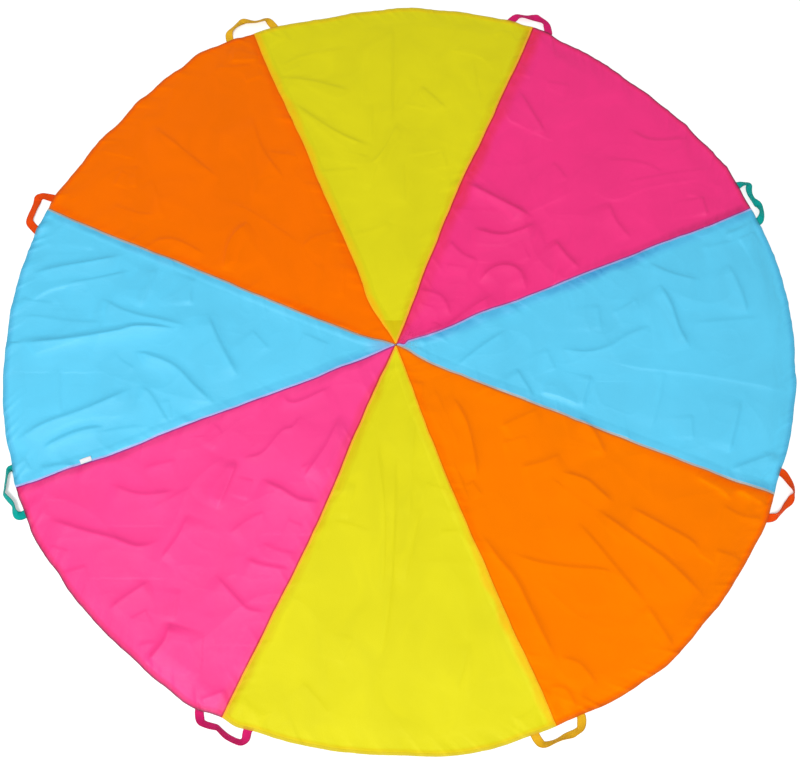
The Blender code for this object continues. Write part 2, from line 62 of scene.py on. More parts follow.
CAMERA_BACK = Vector((
    math.sin(CAMERA_AZIMUTH) * math.cos(CAMERA_ELEVATION),
    -math.cos(CAMERA_AZIMUTH) * math.cos(CAMERA_ELEVATION),
    math.sin(CAMERA_ELEVATION),
))
CAMERA_PLACE = CAMERA_TARGET + CAMERA_BACK * CAMERA_DISTANCE

# Sizes of the part, in metres, as its source has them
CANOPY_RADIUS = 0.915
CENTRE_EYE_RADIUS = 0.0006
SEAM_ALLOWANCE = 0.013
HEM_WIDTH = 0.008
WEBBING_WIDTH = 0.019
HALF_WEBBING = WEBBING_WIDTH / 2
WEBBING = 0.0014
FOOT_SPACING = 0.110
HANDLE_REACH = 0.045
STRAP_END_LENGTH = 0.035
HEM_TO_HANDLE_AXIS = 0.0015
LABEL_LENGTH = 0.026
LABEL_WIDTH = 0.011
LABEL = 0.0004
LABEL_TO_RIM = 0.166
LABEL_SEAM = 4
SEAM_STITCH_INSET = 0.0025
HEM_STITCH_INSET = 0.006

# Eight seams, counter-clockwise from the right: name, degrees at the rim, and how far each bows
# aside at the stations from the centre to the rim, both as shares of the radius
SEAM_NAMES = (
    "right_back", "back_right", "back_left", "left_back",
    "left_front", "front_left", "front_right", "right_front",
)
SEAM_DEGREES = (22.5, 68.2, 113.7, 157.8, 202.2, 246.7, 292.0, 337.4)
SEAM_ANGLES = tuple(math.radians(degrees) for degrees in SEAM_DEGREES)
SEAM_STATION_SHARES = (0.0, 0.125, 0.25, 0.375, 0.5, 0.625, 0.75, 0.875, 1.0)
SEAM_BOW_SHARES = (
    (0.0, -0.008, -0.002, -0.005, -0.004, -0.004, -0.001, -0.004, 0.0),
    (0.0, 0.003, 0.009, 0.012, 0.013, 0.008, 0.004, 0.001, 0.0),
    (0.0, 0.017, 0.008, 0.007, 0.006, 0.002, 0.003, 0.003, 0.0),
    (0.0, 0.009, 0.012, 0.010, 0.006, 0.004, 0.003, 0.002, 0.0),
    (0.0, 0.003, 0.006, 0.006, 0.003, 0.004, 0.006, -0.001, 0.0),
    (0.0, -0.001, 0.002, 0.008, 0.010, 0.008, 0.005, 0.002, 0.0),
    (0.0, -0.003, -0.009, -0.011, -0.009, -0.008, -0.006, 0.0, 0.0),
    (0.0, -0.012, -0.011, -0.009, -0.008, -0.007, -0.005, -0.005, 0.0),
)
# How strongly the band beside each seam shows at the same stations: painted shade where the cloth dips
# towards the stitching, and the folded allowance where it shows through: counter-clockwise side, then
# clockwise side
SEAM_SHADE_SHARES = (
    ((0.9, 0.6, 0.1, 0.0, 0.2, 0.4, 0.7, 1.0, 1.0), (0.3, 0.8, 0.5, 0.5, 1.0, 1.0, 0.6, 0.3, 0.5)),
    ((0.6, 0.4, 0.3, 0.4, 0.3, 0.3, 0.3, 0.5, 0.8), (0.8, 0.3, 0.3, 0.6, 0.8, 0.7, 0.5, 0.6, 0.8)),
    ((0.1, 0.1, 0.3, 0.5, 0.2, 0.2, 0.4, 0.5, 0.5), (0.5, 0.9, 0.4, 0.8, 0.6, 0.7, 0.7, 0.6, 0.8)),
    ((0.5, 0.5, 0.2, 0.3, 0.4, 0.6, 0.7, 0.6, 0.3), (0.3, 0.4, 0.7, 0.3, 0.5, 0.3, 0.2, 0.2, 0.7)),
    ((0.5, 0.6, 0.3, 0.2, 0.5, 0.6, 0.8, 0.8, 0.7), (0.6, 0.5, 0.3, 0.3, 0.2, 0.1, 0.0, 0.1, 0.1)),
    ((0.3, 0.5, 0.5, 0.4, 0.5, 0.4, 0.3, 0.6, 0.6), (0.6, 0.5, 0.4, 0.3, 0.2, 0.1, 0.1, 0.1, 0.5)),
    ((0.3, 0.3, 0.3, 0.4, 0.5, 0.1, 0.1, 0.1, 0.1), (0.2, 0.1, 0.2, 0.1, 0.3, 0.8, 0.9, 0.7, 0.6)),
    ((0.5, 0.3, 0.3, 0.5, 0.4, 0.2, 0.1, 0.4, 0.8), (0.3, 0.1, 0.1, 0.1, 0.1, 0.1, 0.4, 0.6, 0.6)),
)
SEAM_SHADE_REACH = 0.024
SEAM_SHADE_WIDE_REACHES = {(0, 1): 0.032, (1, 1): 0.040}
SEAM_SHADE_TIP = 0.120
SEAM_SHADE_TIP_SHARE = 0.2
SEAM_SHADE_WANDER = 0.006
SEAM_SHADE_HOLD_SHARE = 0.30
SEAM_SHADE_WAVE = 0.045
# How far each visible seam lies aside of the part's, counter-clockwise, in metres
SEAM_SHIFTS = (-0.0012, 0.0, 0.0, 0.0016, 0.0018, 0.0008, -0.0002, -0.0008)
# Where a gore's gathered tip pushes a seam aside: the shift, the radius and the half width
SEAM_TIP_SHIFTS = {0: -0.0060}
SEAM_TIP_RADIUS = 0.019
SEAM_TIP_HALF_WIDTH = 0.013
SEAM_WANDER_WAVES = (0.070, 0.028)
SEAM_WANDERS = (0.0010, 0.0006)
# How much wider the canopy is than its radius, at even steps counter-clockwise from the right
RIM_GAIN_SHARES = (
    0.011, 0.013, 0.008, 0.008, -0.002, 0.000, 0.009, 0.003,
    0.000, -0.015, -0.004, 0.011, -0.008, -0.014, -0.008, -0.010,
    -0.012, -0.007, -0.002, -0.003, -0.008, -0.002, 0.003, -0.004,
    -0.005, 0.006, 0.003, 0.012, 0.012, 0.005, 0.001, 0.006,
)

# What the hem's puckers add to the rim: degrees, half width in degrees, and how far out, in metres
RIM_PUCKERS = (
    (30, 4, 0.0050), (36, 3, -0.0040), (51, 6, -0.0050), (63, 4, -0.0040), (83, 5, -0.0030),
    (93, 4, -0.0045), (126.5, 4, -0.0085), (132, 3, -0.0030), (139.5, 5, -0.0075), (150, 5, -0.0035),
    (198, 4, -0.0040), (210, 4, 0.0040), (216, 3, -0.0045), (232, 5, -0.0050), (241.5, 4, 0.0050),
    (246.5, 3, -0.0065), (252, 4, -0.0040), (276, 5, 0.0025), (288, 4, -0.0025), (295.5, 5, -0.0025),
    (309, 4, 0.0040), (316.5, 4, -0.0040), (333, 4, 0.0040), (340.5, 4, -0.0045), (353, 3, 0.0022),
    (358, 3, -0.0025),
)

# Gores, counter-clockwise: name, cloth, whether it laps over, CAD nodes that it stands for
GORES = (
    ("blue_right", "blue", True, ("blue_right",)),
    ("pink_back_right", "pink", False, ("pink_back_right",)),
    ("yellow_back", "yellow", True, ("yellow_back_left", "yellow_back_right")),
    ("orange_back_left", "orange", False, ("orange_back_left",)),
    ("blue_left", "blue", True, ("blue_left",)),
    ("pink_front_left", "pink", False, ("pink_front_left",)),
    ("yellow_front", "yellow", True, ("yellow_front_left", "yellow_front_right")),
    ("orange_front_right", "orange", False, ("orange_front_right",)),
)

# Handles, one a seam: name, webbing, shift of the pair of ends as a share of their spacing, and
# the loop as shares of half the spacing and of the reach with the tilt in degrees
HANDLES = (
    ("handle_teal_right", "teal", 0.10, (
        (1.02, 0.00, 0), (1.00, 0.20, -28), (0.93, 0.40, -42), (0.84, 0.57, -38), (0.74, 0.50, -28),
        (0.60, 0.40, -26), (0.38, 0.33, -30), (0.14, 0.34, -30), (-0.02, 0.42, -10), (-0.14, 0.48, 0),
        (-0.34, 0.46, -26), (-0.54, 0.41, -40), (-0.72, 0.29, -36), (-0.85, 0.12, -18), (-0.88, 0.00, 0))),
    ("handle_pink_back", "webbing_pink", 0.08, (
        (0.92, 0.00, 0), (0.87, 0.13, 0), (0.80, 0.28, -2), (0.71, 0.38, -16), (0.56, 0.44, -34),
        (0.40, 0.48, -37), (0.20, 0.54, -26), (0.02, 0.65, -6), (-0.14, 0.71, 4), (-0.32, 0.65, -12),
        (-0.50, 0.59, -24), (-0.64, 0.51, -22), (-0.74, 0.38, -8), (-0.84, 0.18, 0), (-0.92, 0.00, 0))),
    ("handle_amber_back", "amber", 0.06, (
        (1.00, 0.00, 0), (0.98, 0.20, 0), (0.93, 0.40, -10), (0.84, 0.52, -27), (0.72, 0.60, -37),
        (0.53, 0.71, -37), (0.30, 0.84, -22), (0.13, 0.93, -6), (-0.03, 0.84, -22), (-0.20, 0.71, -35),
        (-0.38, 0.61, -41), (-0.60, 0.57, -43), (-0.82, 0.57, -39), (-0.96, 0.50, -22), (-1.04, 0.35, -6),
        (-1.10, 0.15, 0), (-1.14, 0.00, 0))),
    ("handle_red_left", "red", 0.12, (
        (0.88, 0.00, 0), (0.82, 0.15, 0), (0.76, 0.31, -2), (0.70, 0.45, -6), (0.62, 0.56, -14),
        (0.48, 0.62, -20), (0.25, 0.65, -20), (0.00, 0.67, -22), (-0.27, 0.70, -12), (-0.47, 0.76, 4),
        (-0.58, 0.76, 4), (-0.68, 0.63, -8), (-0.72, 0.48, -16), (-0.75, 0.28, -8), (-0.77, 0.14, 0),
        (-0.79, 0.00, 0))),
    ("handle_teal_left", "teal", 0.08, (
        (1.02, 0.00, 0), (1.03, 0.16, -4), (0.98, 0.31, -18), (0.88, 0.38, -38), (0.74, 0.39, -51),
        (0.58, 0.36, -59), (0.44, 0.38, -59), (0.28, 0.46, -57), (0.09, 0.56, -61), (-0.07, 0.61, -64),
        (-0.24, 0.51, -62), (-0.50, 0.37, -61), (-0.74, 0.23, -58), (-0.86, 0.15, -48), (-0.94, 0.07, -28),
        (-0.99, 0.00, 0))),
    ("handle_pink_front", "webbing_pink", 0.05, (
        (1.02, 0.00, 0), (1.05, 0.14, 6), (1.08, 0.30, 20), (1.04, 0.45, 36), (0.95, 0.54, 47),
        (0.80, 0.57, 52), (0.60, 0.57, 53), (0.36, 0.54, 54), (0.12, 0.45, 59), (-0.02, 0.39, 60),
        (-0.14, 0.38, 50), (-0.36, 0.43, 46), (-0.60, 0.46, 46), (-0.74, 0.43, 36),
        (-0.85, 0.32, 14), (-0.95, 0.15, 0), (-1.01, 0.00, 0))),
    ("handle_amber_front", "amber", 0.04, (
        (0.95, 0.00, 0), (0.91, 0.14, 6), (0.84, 0.29, 16), (0.76, 0.42, 34), (0.66, 0.49, 47),
        (0.50, 0.53, 46), (0.33, 0.55, 38), (0.06, 0.53, 52), (-0.15, 0.54, 66), (-0.39, 0.55, 69),
        (-0.62, 0.54, 58), (-0.79, 0.50, 44), (-0.90, 0.36, 14), (-0.95, 0.16, 0), (-0.97, 0.00, 0))),
    ("handle_red_right", "red", -0.01, (
        (1.05, 0.00, 0), (1.00, 0.12, -6), (0.90, 0.28, -16), (0.78, 0.45, -25), (0.66, 0.60, -36),
        (0.55, 0.71, -50), (0.44, 0.79, -63), (0.34, 0.83, -68), (0.25, 0.83, -52), (0.14, 0.80, -32),
        (0.02, 0.77, -28), (-0.10, 0.71, -36), (-0.28, 0.61, -50), (-0.50, 0.53, -61), (-0.70, 0.44, -64),
        (-0.84, 0.34, -48), (-0.93, 0.17, -18), (-1.00, 0.00, 0))),
)

# Heights of the cloth's layers above the floor, in metres
CLOTH_REST = 0.0002
ALLOWANCE_REST = 0.0002
RETURN_REST = 0.00075
TUCKED_DROP = 0.00005
LAP_LIFT = 0.0011
LAP_START = 0.0005
LAP_EASE = 0.0120
HEM_LIFT = 0.0005
HEM_PUFF = 0.00015
HEM_STEP = 0.0060
HEM_EDGE_SHARE = 0.45
HEM_STRIP_DROP = 0.00008
HEM_SEAM_EASE = 0.0020
EDGE_BULGE = 0.00035
POCKET_LIFT = 0.0019
POCKET_EASE = 0.0260
STRAP_SHOW_EASE = 0.0030
STRAP_SHOW_DEPTH = 0.0090

# The grid of a gore: columns beside a seam, by their distance from it, and what lies between
OVER_OFFSETS = (0.0003, 0.0010, 0.0020, 0.0032, 0.0050, 0.0075, 0.0100, 0.0125, 0.0145, 0.0170, 0.0200)
RETURN_OFFSETS = (0.0115, 0.0060, 0.0012)
UNDER_OFFSETS = (0.0008, 0.0018, 0.0032, 0.0050, 0.0075, 0.0100, 0.0130, 0.0160, 0.0200)
ALLOWANCE_OFFSETS = (-0.0130, -0.0080, -0.0040, -0.0015)
EDGE_LIMIT_SHARE = 0.55
MIDDLE_COLUMNS = 240
INNER_ROWS = 340
HEM_ZONE = 0.0140
HEM_INSETS = (
    0.0115, 0.0100, 0.0092, 0.0086, 0.0080, 0.0072, 0.0064, 0.0056, 0.0046, 0.0034, 0.0022, 0.0012,
    0.0005, 0.0,
)
STRIP_INSETS = (0.0006, 0.0030, HEM_WIDTH)
ALLOWANCE_TO_RIM = 0.0015
GRID_ROUNDS = 4

# Creases of the cloth, by pixels of the photograph: strength, then the points of each. The first
# table holds those whose steep side is in shade, the second those whose steep side is lit.
SHADED_CREASES_PX = (
    # orange, back left
    (2, (150, 125), (175, 145), (222, 182)), (2, (250, 115), (262, 150), (285, 182)),
    (1, (137, 165), (135, 190)), (1, (150, 178), (165, 222)), (1, (124, 170), (115, 187)),
    (3, (225, 274), (228, 250), (236, 234), (252, 221)), (1, (225, 200), (255, 215), (303, 247)),
    (1, (300, 250), (315, 238), (342, 231)), (2, (150, 243), (175, 241), (207, 257)),
    (1, (214, 69), (256, 67)), (1, (345, 262), (342, 300)), (1, (266, 152), (300, 158)),
    (1, (175, 150), (205, 172)), (1, (112, 205), (140, 215), (160, 214)),
    # yellow, back
    (3, (289, 102), (315, 120), (345, 138), (374, 149)), (1, (277, 71), (300, 58), (350, 48)),
    (2, (278, 79), (310, 82), (352, 93)), (1, (316, 173), (362, 170)),
    (2, (370, 168), (385, 150), (400, 122)), (1, (368, 192), (378, 158)),
    (2, (391, 22), (391, 70), (391, 132)), (1, (348, 237), (378, 229), (386, 219)),
    (1, (472, 60), (476, 85), (480, 107)), (2, (418, 86), (432, 98), (447, 111)),
    (1, (402, 160), (405, 208)), (1, (372, 100), (371, 146)), (1, (440, 150), (447, 170)),
    (1, (335, 150), (372, 160)),
    # pink, back right
    (2, (516, 90), (530, 112), (547, 138)), (1, (545, 84), (570, 88)),
    (2, (626, 129), (650, 141), (692, 140)), (1, (550, 162), (558, 170), (567, 182)),
    (1, (618, 186), (670, 175), (718, 169)), (2, (606, 202), (615, 222), (631, 241)),
    (4, (462, 182), (495, 199), (534, 220)), (3, (540, 222), (520, 232), (498, 236), (470, 229)),
    (2, (446, 240), (462, 255), (480, 263)), (1, (442, 265), (474, 270)),
    (3, (478, 285), (490, 271), (505, 266), (519, 272), (527, 293)),
    (2, (494, 295), (470, 310), (452, 324), (438, 337)), (2, (413, 290), (440, 297), (451, 318)),
    (1, (414, 302), (440, 311)), (3, (552, 239), (565, 256), (580, 271)),
    (1, (452, 209), (502, 213)), (1, (436, 322), (429, 337)), (1, (600, 160), (640, 164), (668, 176)),
    (2, (700, 196), (706, 218)), (1, (520, 240), (530, 262)),
    # blue, right
    (3, (655, 282), (669, 305), (678, 330), (691, 352)), (2, (725, 264), (738, 290), (747, 317)),
    (2, (644, 264), (670, 275), (702, 283)), (1, (596, 304), (600, 333)),
    (2, (556, 349), (585, 353), (608, 348), (630, 335), (657, 326)), (1, (544, 348), (556, 373)),
    (2, (510, 329), (480, 349), (453, 370)), (1, (690, 325), (762, 319)),
    (2, (514, 368), (525, 385), (534, 400)), (2, (591, 374), (584, 395), (582, 410)),
    (2, (740, 398), (733, 430), (727, 457)), (1, (664, 364), (657, 405), (649, 432)),
    (3, (727, 472), (755, 462), (780, 453)), (1, (698, 250), (742, 242)),
    (2, (722, 238), (745, 229), (754, 219)), (2, (735, 243), (757, 233)),
    (1, (690, 414), (692, 442)), (1, (640, 300), (610, 316)), (1, (748, 470), (764, 478)),
    # orange, front right
    (1, (431, 384), (448, 420), (463, 457)), (3, (449, 393), (465, 420), (473, 450), (477, 482)),
    (2, (498, 429), (520, 418), (542, 409)), (2, (518, 469), (545, 462), (562, 454)),
    (3, (576, 417), (592, 430), (606, 457)), (3, (558, 472), (585, 480), (600, 492), (615, 505)),
    (1, (545, 475), (580, 500), (602, 517)), (3, (626, 506), (660, 525), (690, 542), (702, 557)),
    (3, (588, 504), (630, 535), (670, 565), (709, 604)), (2, (573, 518), (600, 550), (622, 577), (648, 608)),
    (2, (644, 604), (660, 628), (674, 650)), (2, (507, 552), (535, 562), (570, 568), (605, 571), (628, 582)),
    (3, (476, 528), (495, 555), (515, 580), (531, 612), (546, 642), (560, 668)),
    (2, (558, 657), (580, 665), (597, 687)), (2, (546, 688), (565, 690), (577, 711)),
    (2, (712, 552), (728, 556), (744, 563)), (2, (718, 504), (740, 517), (767, 521)),
    (1, (470, 480), (482, 497)), (1, (640, 560), (668, 592)), (1, (500, 445), (530, 436)),
    # yellow, front
    (2, (374, 428), (383, 500), (384, 560), (380, 612)), (2, (395, 445), (392, 560), (387, 620), (377, 672)),
    (1, (415, 408), (411, 480), (408, 542)), (2, (422, 505), (415, 530), (403, 588)),
    (1, (333, 522), (360, 528), (377, 534)), (1, (423, 484), (452, 493)), (1, (438, 533), (464, 531)),
    (1, (356, 478), (346, 524)), (1, (352, 634), (340, 667)), (1, (298, 678), (332, 717)),
    (1, (450, 455), (470, 505)), (1, (470, 640), (455, 700)), (1, (422, 380), (418, 410)),
    # pink, front left
    (3, (42, 518), (80, 530), (110, 538), (140, 547), (165, 539)),
    (2, (190, 513), (180, 535), (160, 562)), (2, (108, 484), (140, 495), (178, 492)),
    (1, (148, 511), (194, 487)), (1, (143, 469), (178, 461)),
    (3, (258, 480), (282, 491), (300, 501), (324, 504)), (3, (237, 460), (228, 485), (216, 511)),
    (2, (238, 460), (262, 455), (282, 433), (295, 427), (304, 410)), (1, (252, 478), (244, 502)),
    (3, (342, 414), (328, 445), (303, 481)), (2, (278, 394), (295, 404), (334, 387)),
    (1, (228, 536), (250, 520), (270, 511)), (1, (260, 544), (280, 552), (300, 556)),
    (2, (243, 559), (262, 566), (292, 571)), (2, (213, 574), (232, 595), (248, 610), (270, 613)),
    (4, (172, 622), (165, 642), (146, 665)), (1, (179, 588), (172, 624)),
    (2, (152, 581), (125, 598), (108, 612)), (1, (150, 610), (128, 621)), (1, (158, 643), (138, 646)),
    (2, (198, 702), (228, 691)), (1, (212, 424), (220, 435), (211, 452)), (1, (48, 546), (72, 553)),
    (1, (300, 470), (318, 462)), (1, (285, 520), (305, 528)), (1, (60, 575), (90, 566)),
    # blue, left
    (3, (28, 276), (60, 268), (95, 262), (128, 255)), (2, (58, 286), (105, 278), (133, 271)),
    (2, (96, 297), (120, 310), (140, 317), (160, 321), (192, 329)),
    (4, (7, 344), (50, 342), (90, 337), (120, 332), (140, 328), (188, 331)),
    (1, (13, 319), (35, 317), (70, 322), (112, 324)), (2, (158, 266), (148, 290), (139, 310)),
    (2, (196, 277), (191, 290), (190, 308)), (3, (206, 313), (220, 345), (239, 380)),
    (3, (128, 352), (150, 357), (175, 368), (195, 388), (217, 408)), (1, (115, 352), (122, 362), (137, 371)),
    (1, (58, 363), (60, 422)), (3, (12, 444), (45, 425), (85, 410), (115, 398), (138, 387)),
    (2, (136, 387), (150, 395), (165, 419), (174, 427)), (3, (40, 451), (60, 440), (80, 432), (108, 427)),
    (1, (68, 438), (100, 433), (140, 428), (153, 433)), (2, (36, 470), (60, 466), (78, 467)),
    (1, (96, 231), (90, 252)), (1, (300, 334), (332, 347)), (1, (14, 468), (28, 460)),
    (1, (20, 300), (55, 305)), (1, (250, 330), (270, 352)), (1, (168, 398), (171, 424)),
)
LIT_CREASES_PX = (
    (1, (98, 150), (137, 159)), (2, (228, 61), (260, 60)), (1, (243, 82), (264, 74)),
    (1, (282, 75), (302, 66)), (1, (446, 50), (480, 58), (496, 73)), (1, (405, 156), (447, 149)),
    (1, (400, 104), (442, 112)), (1, (515, 73), (532, 79)), (1, (638, 146), (670, 152), (692, 147)),
    (1, (590, 189), (615, 200), (650, 188), (712, 177)), (1, (683, 194), (700, 199), (706, 217)),
    (1, (498, 226), (545, 205), (577, 189)), (1, (500, 98), (508, 118), (520, 126), (558, 143)),
    (1, (596, 351), (608, 360), (640, 368), (700, 375), (770, 388), (797, 397)),
    (2, (538, 391), (560, 397), (583, 406)), (2, (693, 475), (720, 490), (733, 502)),
    (3, (734, 489), (750, 497), (767, 506)), (1, (695, 551), (716, 566)),
    (2, (28, 304), (50, 290), (90, 281)), (2, (28, 356), (60, 346), (88, 338)),
    (1, (470, 243), (500, 245), (526, 236)), (1, (40, 436), (80, 420), (130, 415)),
    (1, (408, 445), (413, 500)), (1, (350, 480), (342, 520)), (1, (590, 512), (625, 545)),
)
CREASE_HEIGHTS = {1: 0.0012, 2: 0.0024, 3: 0.0038, 4: 0.0056}
CREASE_STEEP_WIDTHS = {1: 0.0050, 2: 0.0054, 3: 0.0062, 4: 0.0072}
CREASE_GENTLE_WIDTH = 0.0320
CREASE_ROUNDING = 0.0024
CREASE_END_SHARE = 0.22
CREASE_OVERLAP_SHARE = 0.35
CREASE_STEPS = 14
CREASE_REACH = 0.070

# Soft unevenness and the puckers that the sewing draws in: sizes of their waves and heights
RELIEF_GAINS = {
    "blue_right": 1.5, "pink_back_right": 1.5, "yellow_back": 1.0, "orange_back_left": 1.2,
    "blue_left": 1.5, "pink_front_left": 1.4, "yellow_front": 0.75, "orange_front_right": 1.2,
}
RELIEF_EASE_DEGREES = 5.0
SWELL_WAVES = (0.340, 0.150, 0.070, 0.035)
SWELL_HEIGHTS = (0.0080, 0.0048, 0.0018, 0.0005)
SWELL_FLOOR = 0.35
SWELL_EASE = 0.1
SWELL_EXTENT = 1.80
CRUMPLE_WAVES = (0.160, 0.090, 0.050)
CRUMPLE_HEIGHTS = (0.0010, 0.0004, 0.0002)
CRUMPLE_TURN_DEGREES = 37.0
CRUMPLE_BEND_SHARE = 0.9
CRUMPLE_BEND_WAVE_SHARE = 1.3
SEAM_PUCKER_WAVES = (0.034, 0.014)
SEAM_PUCKER_HEIGHTS = (0.0019, 0.0010)
SEAM_PUCKER_REACH = 0.050
SEAM_PUCKER_FALL = 3.0
SEAM_PUCKER_LEAST_SHARE = 0.35
SEAM_PUCKER_EASE = 0.006
SEAM_PUCKER_SHEAR = 0.6
HEM_PUCKER_WAVES = (0.030, 0.012)
HEM_PUCKER_HEIGHTS = (0.0024, 0.0015)
HEM_PUCKER_REACH = 0.060
HEM_PUCKER_FALL = 4.0
HEM_PUCKER_SHEAR = 0.8
EDGE_WANDER_WAVES = (0.021, 0.009)
EDGE_WANDERS = (0.0006, 0.0002)
FADE_CENTRE = 0.060

# Random numbers: how many a ripple has, where it starts among them, and each kind's first seed
RIPPLE_COUNT = 4096
RIPPLE_START = 1024
SEAM_PUCKER_SEED = 20
HEM_PUCKER_SEED = 220
SWELL_SEED = 320
CRUMPLE_SEED = 340
RIM_SEED = 420
SEAM_SEED = 520
SHADE_SEED = 620

# Thread
STITCH_LENGTH = 0.0026
STITCH_PITCH = 0.0034
STITCH_RADIUS = 0.00028
STITCH_SIDES = 5
STITCH_RING_SHARES = ((0.0, 0.35), (0.22, 0.95), (0.78, 0.95), (1.0, 0.35))
SEAM_STITCH_START = 0.012
SEAM_STITCH_STOP = 0.004
SEAM_STITCH_STEPS = 700
HEM_STITCH_END_GAP = 0.004
HEM_STITCH_STEPS = 500

# Webbing as it is drawn here: the shares across it that its section has points at
LOOP_STEPS = 150
TAIL_STEPS = 10
SECTION_SHARES = (-0.985, -0.90, -0.80, -0.40, 0.0, 0.40, 0.80, 0.90, 0.985)
THIN_EDGE_START = 0.95
THIN_EDGE_SHARE = 0.55
SELVEDGE = 0.0022
SELVEDGE_LIFT = 0.00012
HEADING_EASE = 3
STRAP_REST = 0.00002

# The label's grid, how far its free edge curls up, and how stiffly it bridges the cloth
LABEL_ROWS = 15
LABEL_COLUMNS = 7
LABEL_CURL = 0.0018
LABEL_CURL_SHARE = 0.4
LABEL_CURL_TURN = 5.0
LABEL_STIFF_SHARE = 0.4
LABEL_CLEARANCE = 0.0006

# Where the light comes from, over the floor
KEY_PLACE = Vector((-1.10, -2.98, 5.09))
KEY_DIRECTION = np.array(KEY_PLACE.to_2d().normalized())
KEY_SIZE = 1.80
KEY_POWER = 240.0
FILL_STRENGTH = 0.44

# The floor turns as white as the backdrop between these distances from the middle
FLOOR_SIZE = 30.0
FLOOR_DROP = 0.0004
FLOOR_TONE = 0.82
FLOOR_ROUGHNESS = 0.9
FLOOR_GLOW = 0.36
FLOOR_NEAR = 1.3
FLOOR_FAR = 6.0


def rgba(red, green, blue):
    """A colour as written on a screen, made linear."""
    linear = [c / 12.92 if c <= 0.04045 else ((c + 0.055) / 1.055) ** 2.4 for c in (red, green, blue)]
    return (*linear, 1.0)


WHITE = (1.0, 1.0, 1.0, 1.0)
CLOTH_COLOURS = {
    "yellow": rgba(0.885, 0.852, 0.060),
    "orange": rgba(1.0, 0.450, 0.0),
    "pink": rgba(0.985, 0.170, 0.510),
    "blue": rgba(0.330, 0.815, 0.975),
}
# Slightly lighter and darker copies of the cloth's colour on some gores: painted light on the front ones,
# painted shade on the back ones
LIT_AND_SHADED_GORE_COLOURS = {
    "orange_back_left": rgba(1.0, 0.425, 0.0),
    "orange_front_right": rgba(1.0, 0.465, 0.0),
    "pink_back_right": rgba(0.985, 0.140, 0.500),
    "pink_front_left": rgba(1.0, 0.205, 0.550),
}
GLOSS_TINTS = {
    "yellow": (1.0, 1.0, 0.25, 1.0),
    "orange": (1.0, 0.60, 0.0, 1.0),
    "pink": (1.0, 0.55, 0.80, 1.0),
    "blue": (0.80, 0.95, 1.0, 1.0),
}
GLOSS_LEVELS = {"yellow": 0.6, "orange": 0.9, "pink": 1.0, "blue": 1.0}
# The painted shade on the gathered tips of some gores, where the cloth folds and crumples: colour, full to,
# gone at, how strong. The yellow one ends in a straight line, and the crumpled ones show in patches.
TIP_SHADES = {
    "yellow_back": (rgba(0.85, 0.76, 0.0), 0.0590, 0.0610, 1.0),
    "blue_left": (rgba(0.50, 0.66, 0.86), 0.0100, 0.0850, 0.75),
    "blue_right": (rgba(0.42, 0.68, 0.78), 0.0200, 0.0700, 0.95),
    "pink_back_right": (rgba(0.80, 0.07, 0.34), 0.0150, 0.0900, 0.95),
}
STRAIGHT_TIPS = ("yellow_back",)
CRUMPLED_TIPS = ("blue_right", "pink_back_right")
# Along a seam, by the cloth and its neighbour: the colour of the band beside it, then that of the
# line along it, full to, gone at, how strong. On the cloth on top: the allowance showing through, and the
# neighbour's cloth glowing through the folded edge with some painted highlight. Beneath: painted shade and
# shadow.
SEAM_TINTS_SHADES_AND_HIGHLIGHTS = {
    ("yellow", "orange"): (rgba(0.985, 0.72, 0.02), rgba(1.0, 0.73, 0.08), 0.0026, 0.0050, 1.0),
    ("yellow", "pink"): (rgba(0.83, 0.62, 0.0), rgba(1.0, 0.70, 0.20), 0.0038, 0.0056, 1.0),
    ("blue", "pink"): (rgba(0.18, 0.59, 0.83), rgba(0.72, 0.68, 0.93), 0.0028, 0.0048, 0.85),
    ("blue", "orange"): (rgba(0.25, 0.66, 0.84), rgba(0.72, 0.66, 0.60), 0.0030, 0.0058, 0.90),
    ("orange", "yellow"): (rgba(0.97, 0.33, 0.0), rgba(0.92, 0.40, 0.0), 0.0014, 0.0050, 0.70),
    ("pink", "yellow"): (rgba(0.93, 0.10, 0.17), rgba(0.80, 0.13, 0.0), 0.0020, 0.0058, 0.95),
    ("pink", "blue"): (rgba(0.84, 0.09, 0.42), rgba(0.56, 0.20, 0.54), 0.0016, 0.0048, 0.90),
    ("orange", "blue"): (rgba(0.97, 0.32, 0.0), rgba(0.80, 0.42, 0.20), 0.0014, 0.0054, 0.85),
}
# Inside the rim: the doubled hem's patchy tone, the painted shade of its turned edge, and the painted shade
# line that some end in, each with how far from the rim it is full to, gone at, and how strong
HEM_BANDS = {
    "yellow": rgba(0.93, 0.76, 0.02), "orange": rgba(1.0, 0.36, 0.0), "pink": rgba(0.95, 0.10, 0.40),
    "blue": rgba(0.26, 0.72, 0.90),
}
HEM_BAND_FADE = (0.0070, 0.0160, 0.65)
RIM_SHADE_COLOURS = {
    "yellow": rgba(0.83, 0.75, 0.20), "orange": rgba(0.84, 0.36, 0.12), "pink": rgba(0.72, 0.13, 0.34),
    "blue": rgba(0.26, 0.69, 0.84),
}
RIM_SHADE_FADE = (0.0020, 0.0070, 0.90)
RIM_SHADE_LINES = {"pink": rgba(0.48, 0.05, 0.20)}
RIM_SHADE_LINE_FADE = (0.0014, 0.0032, 0.85)
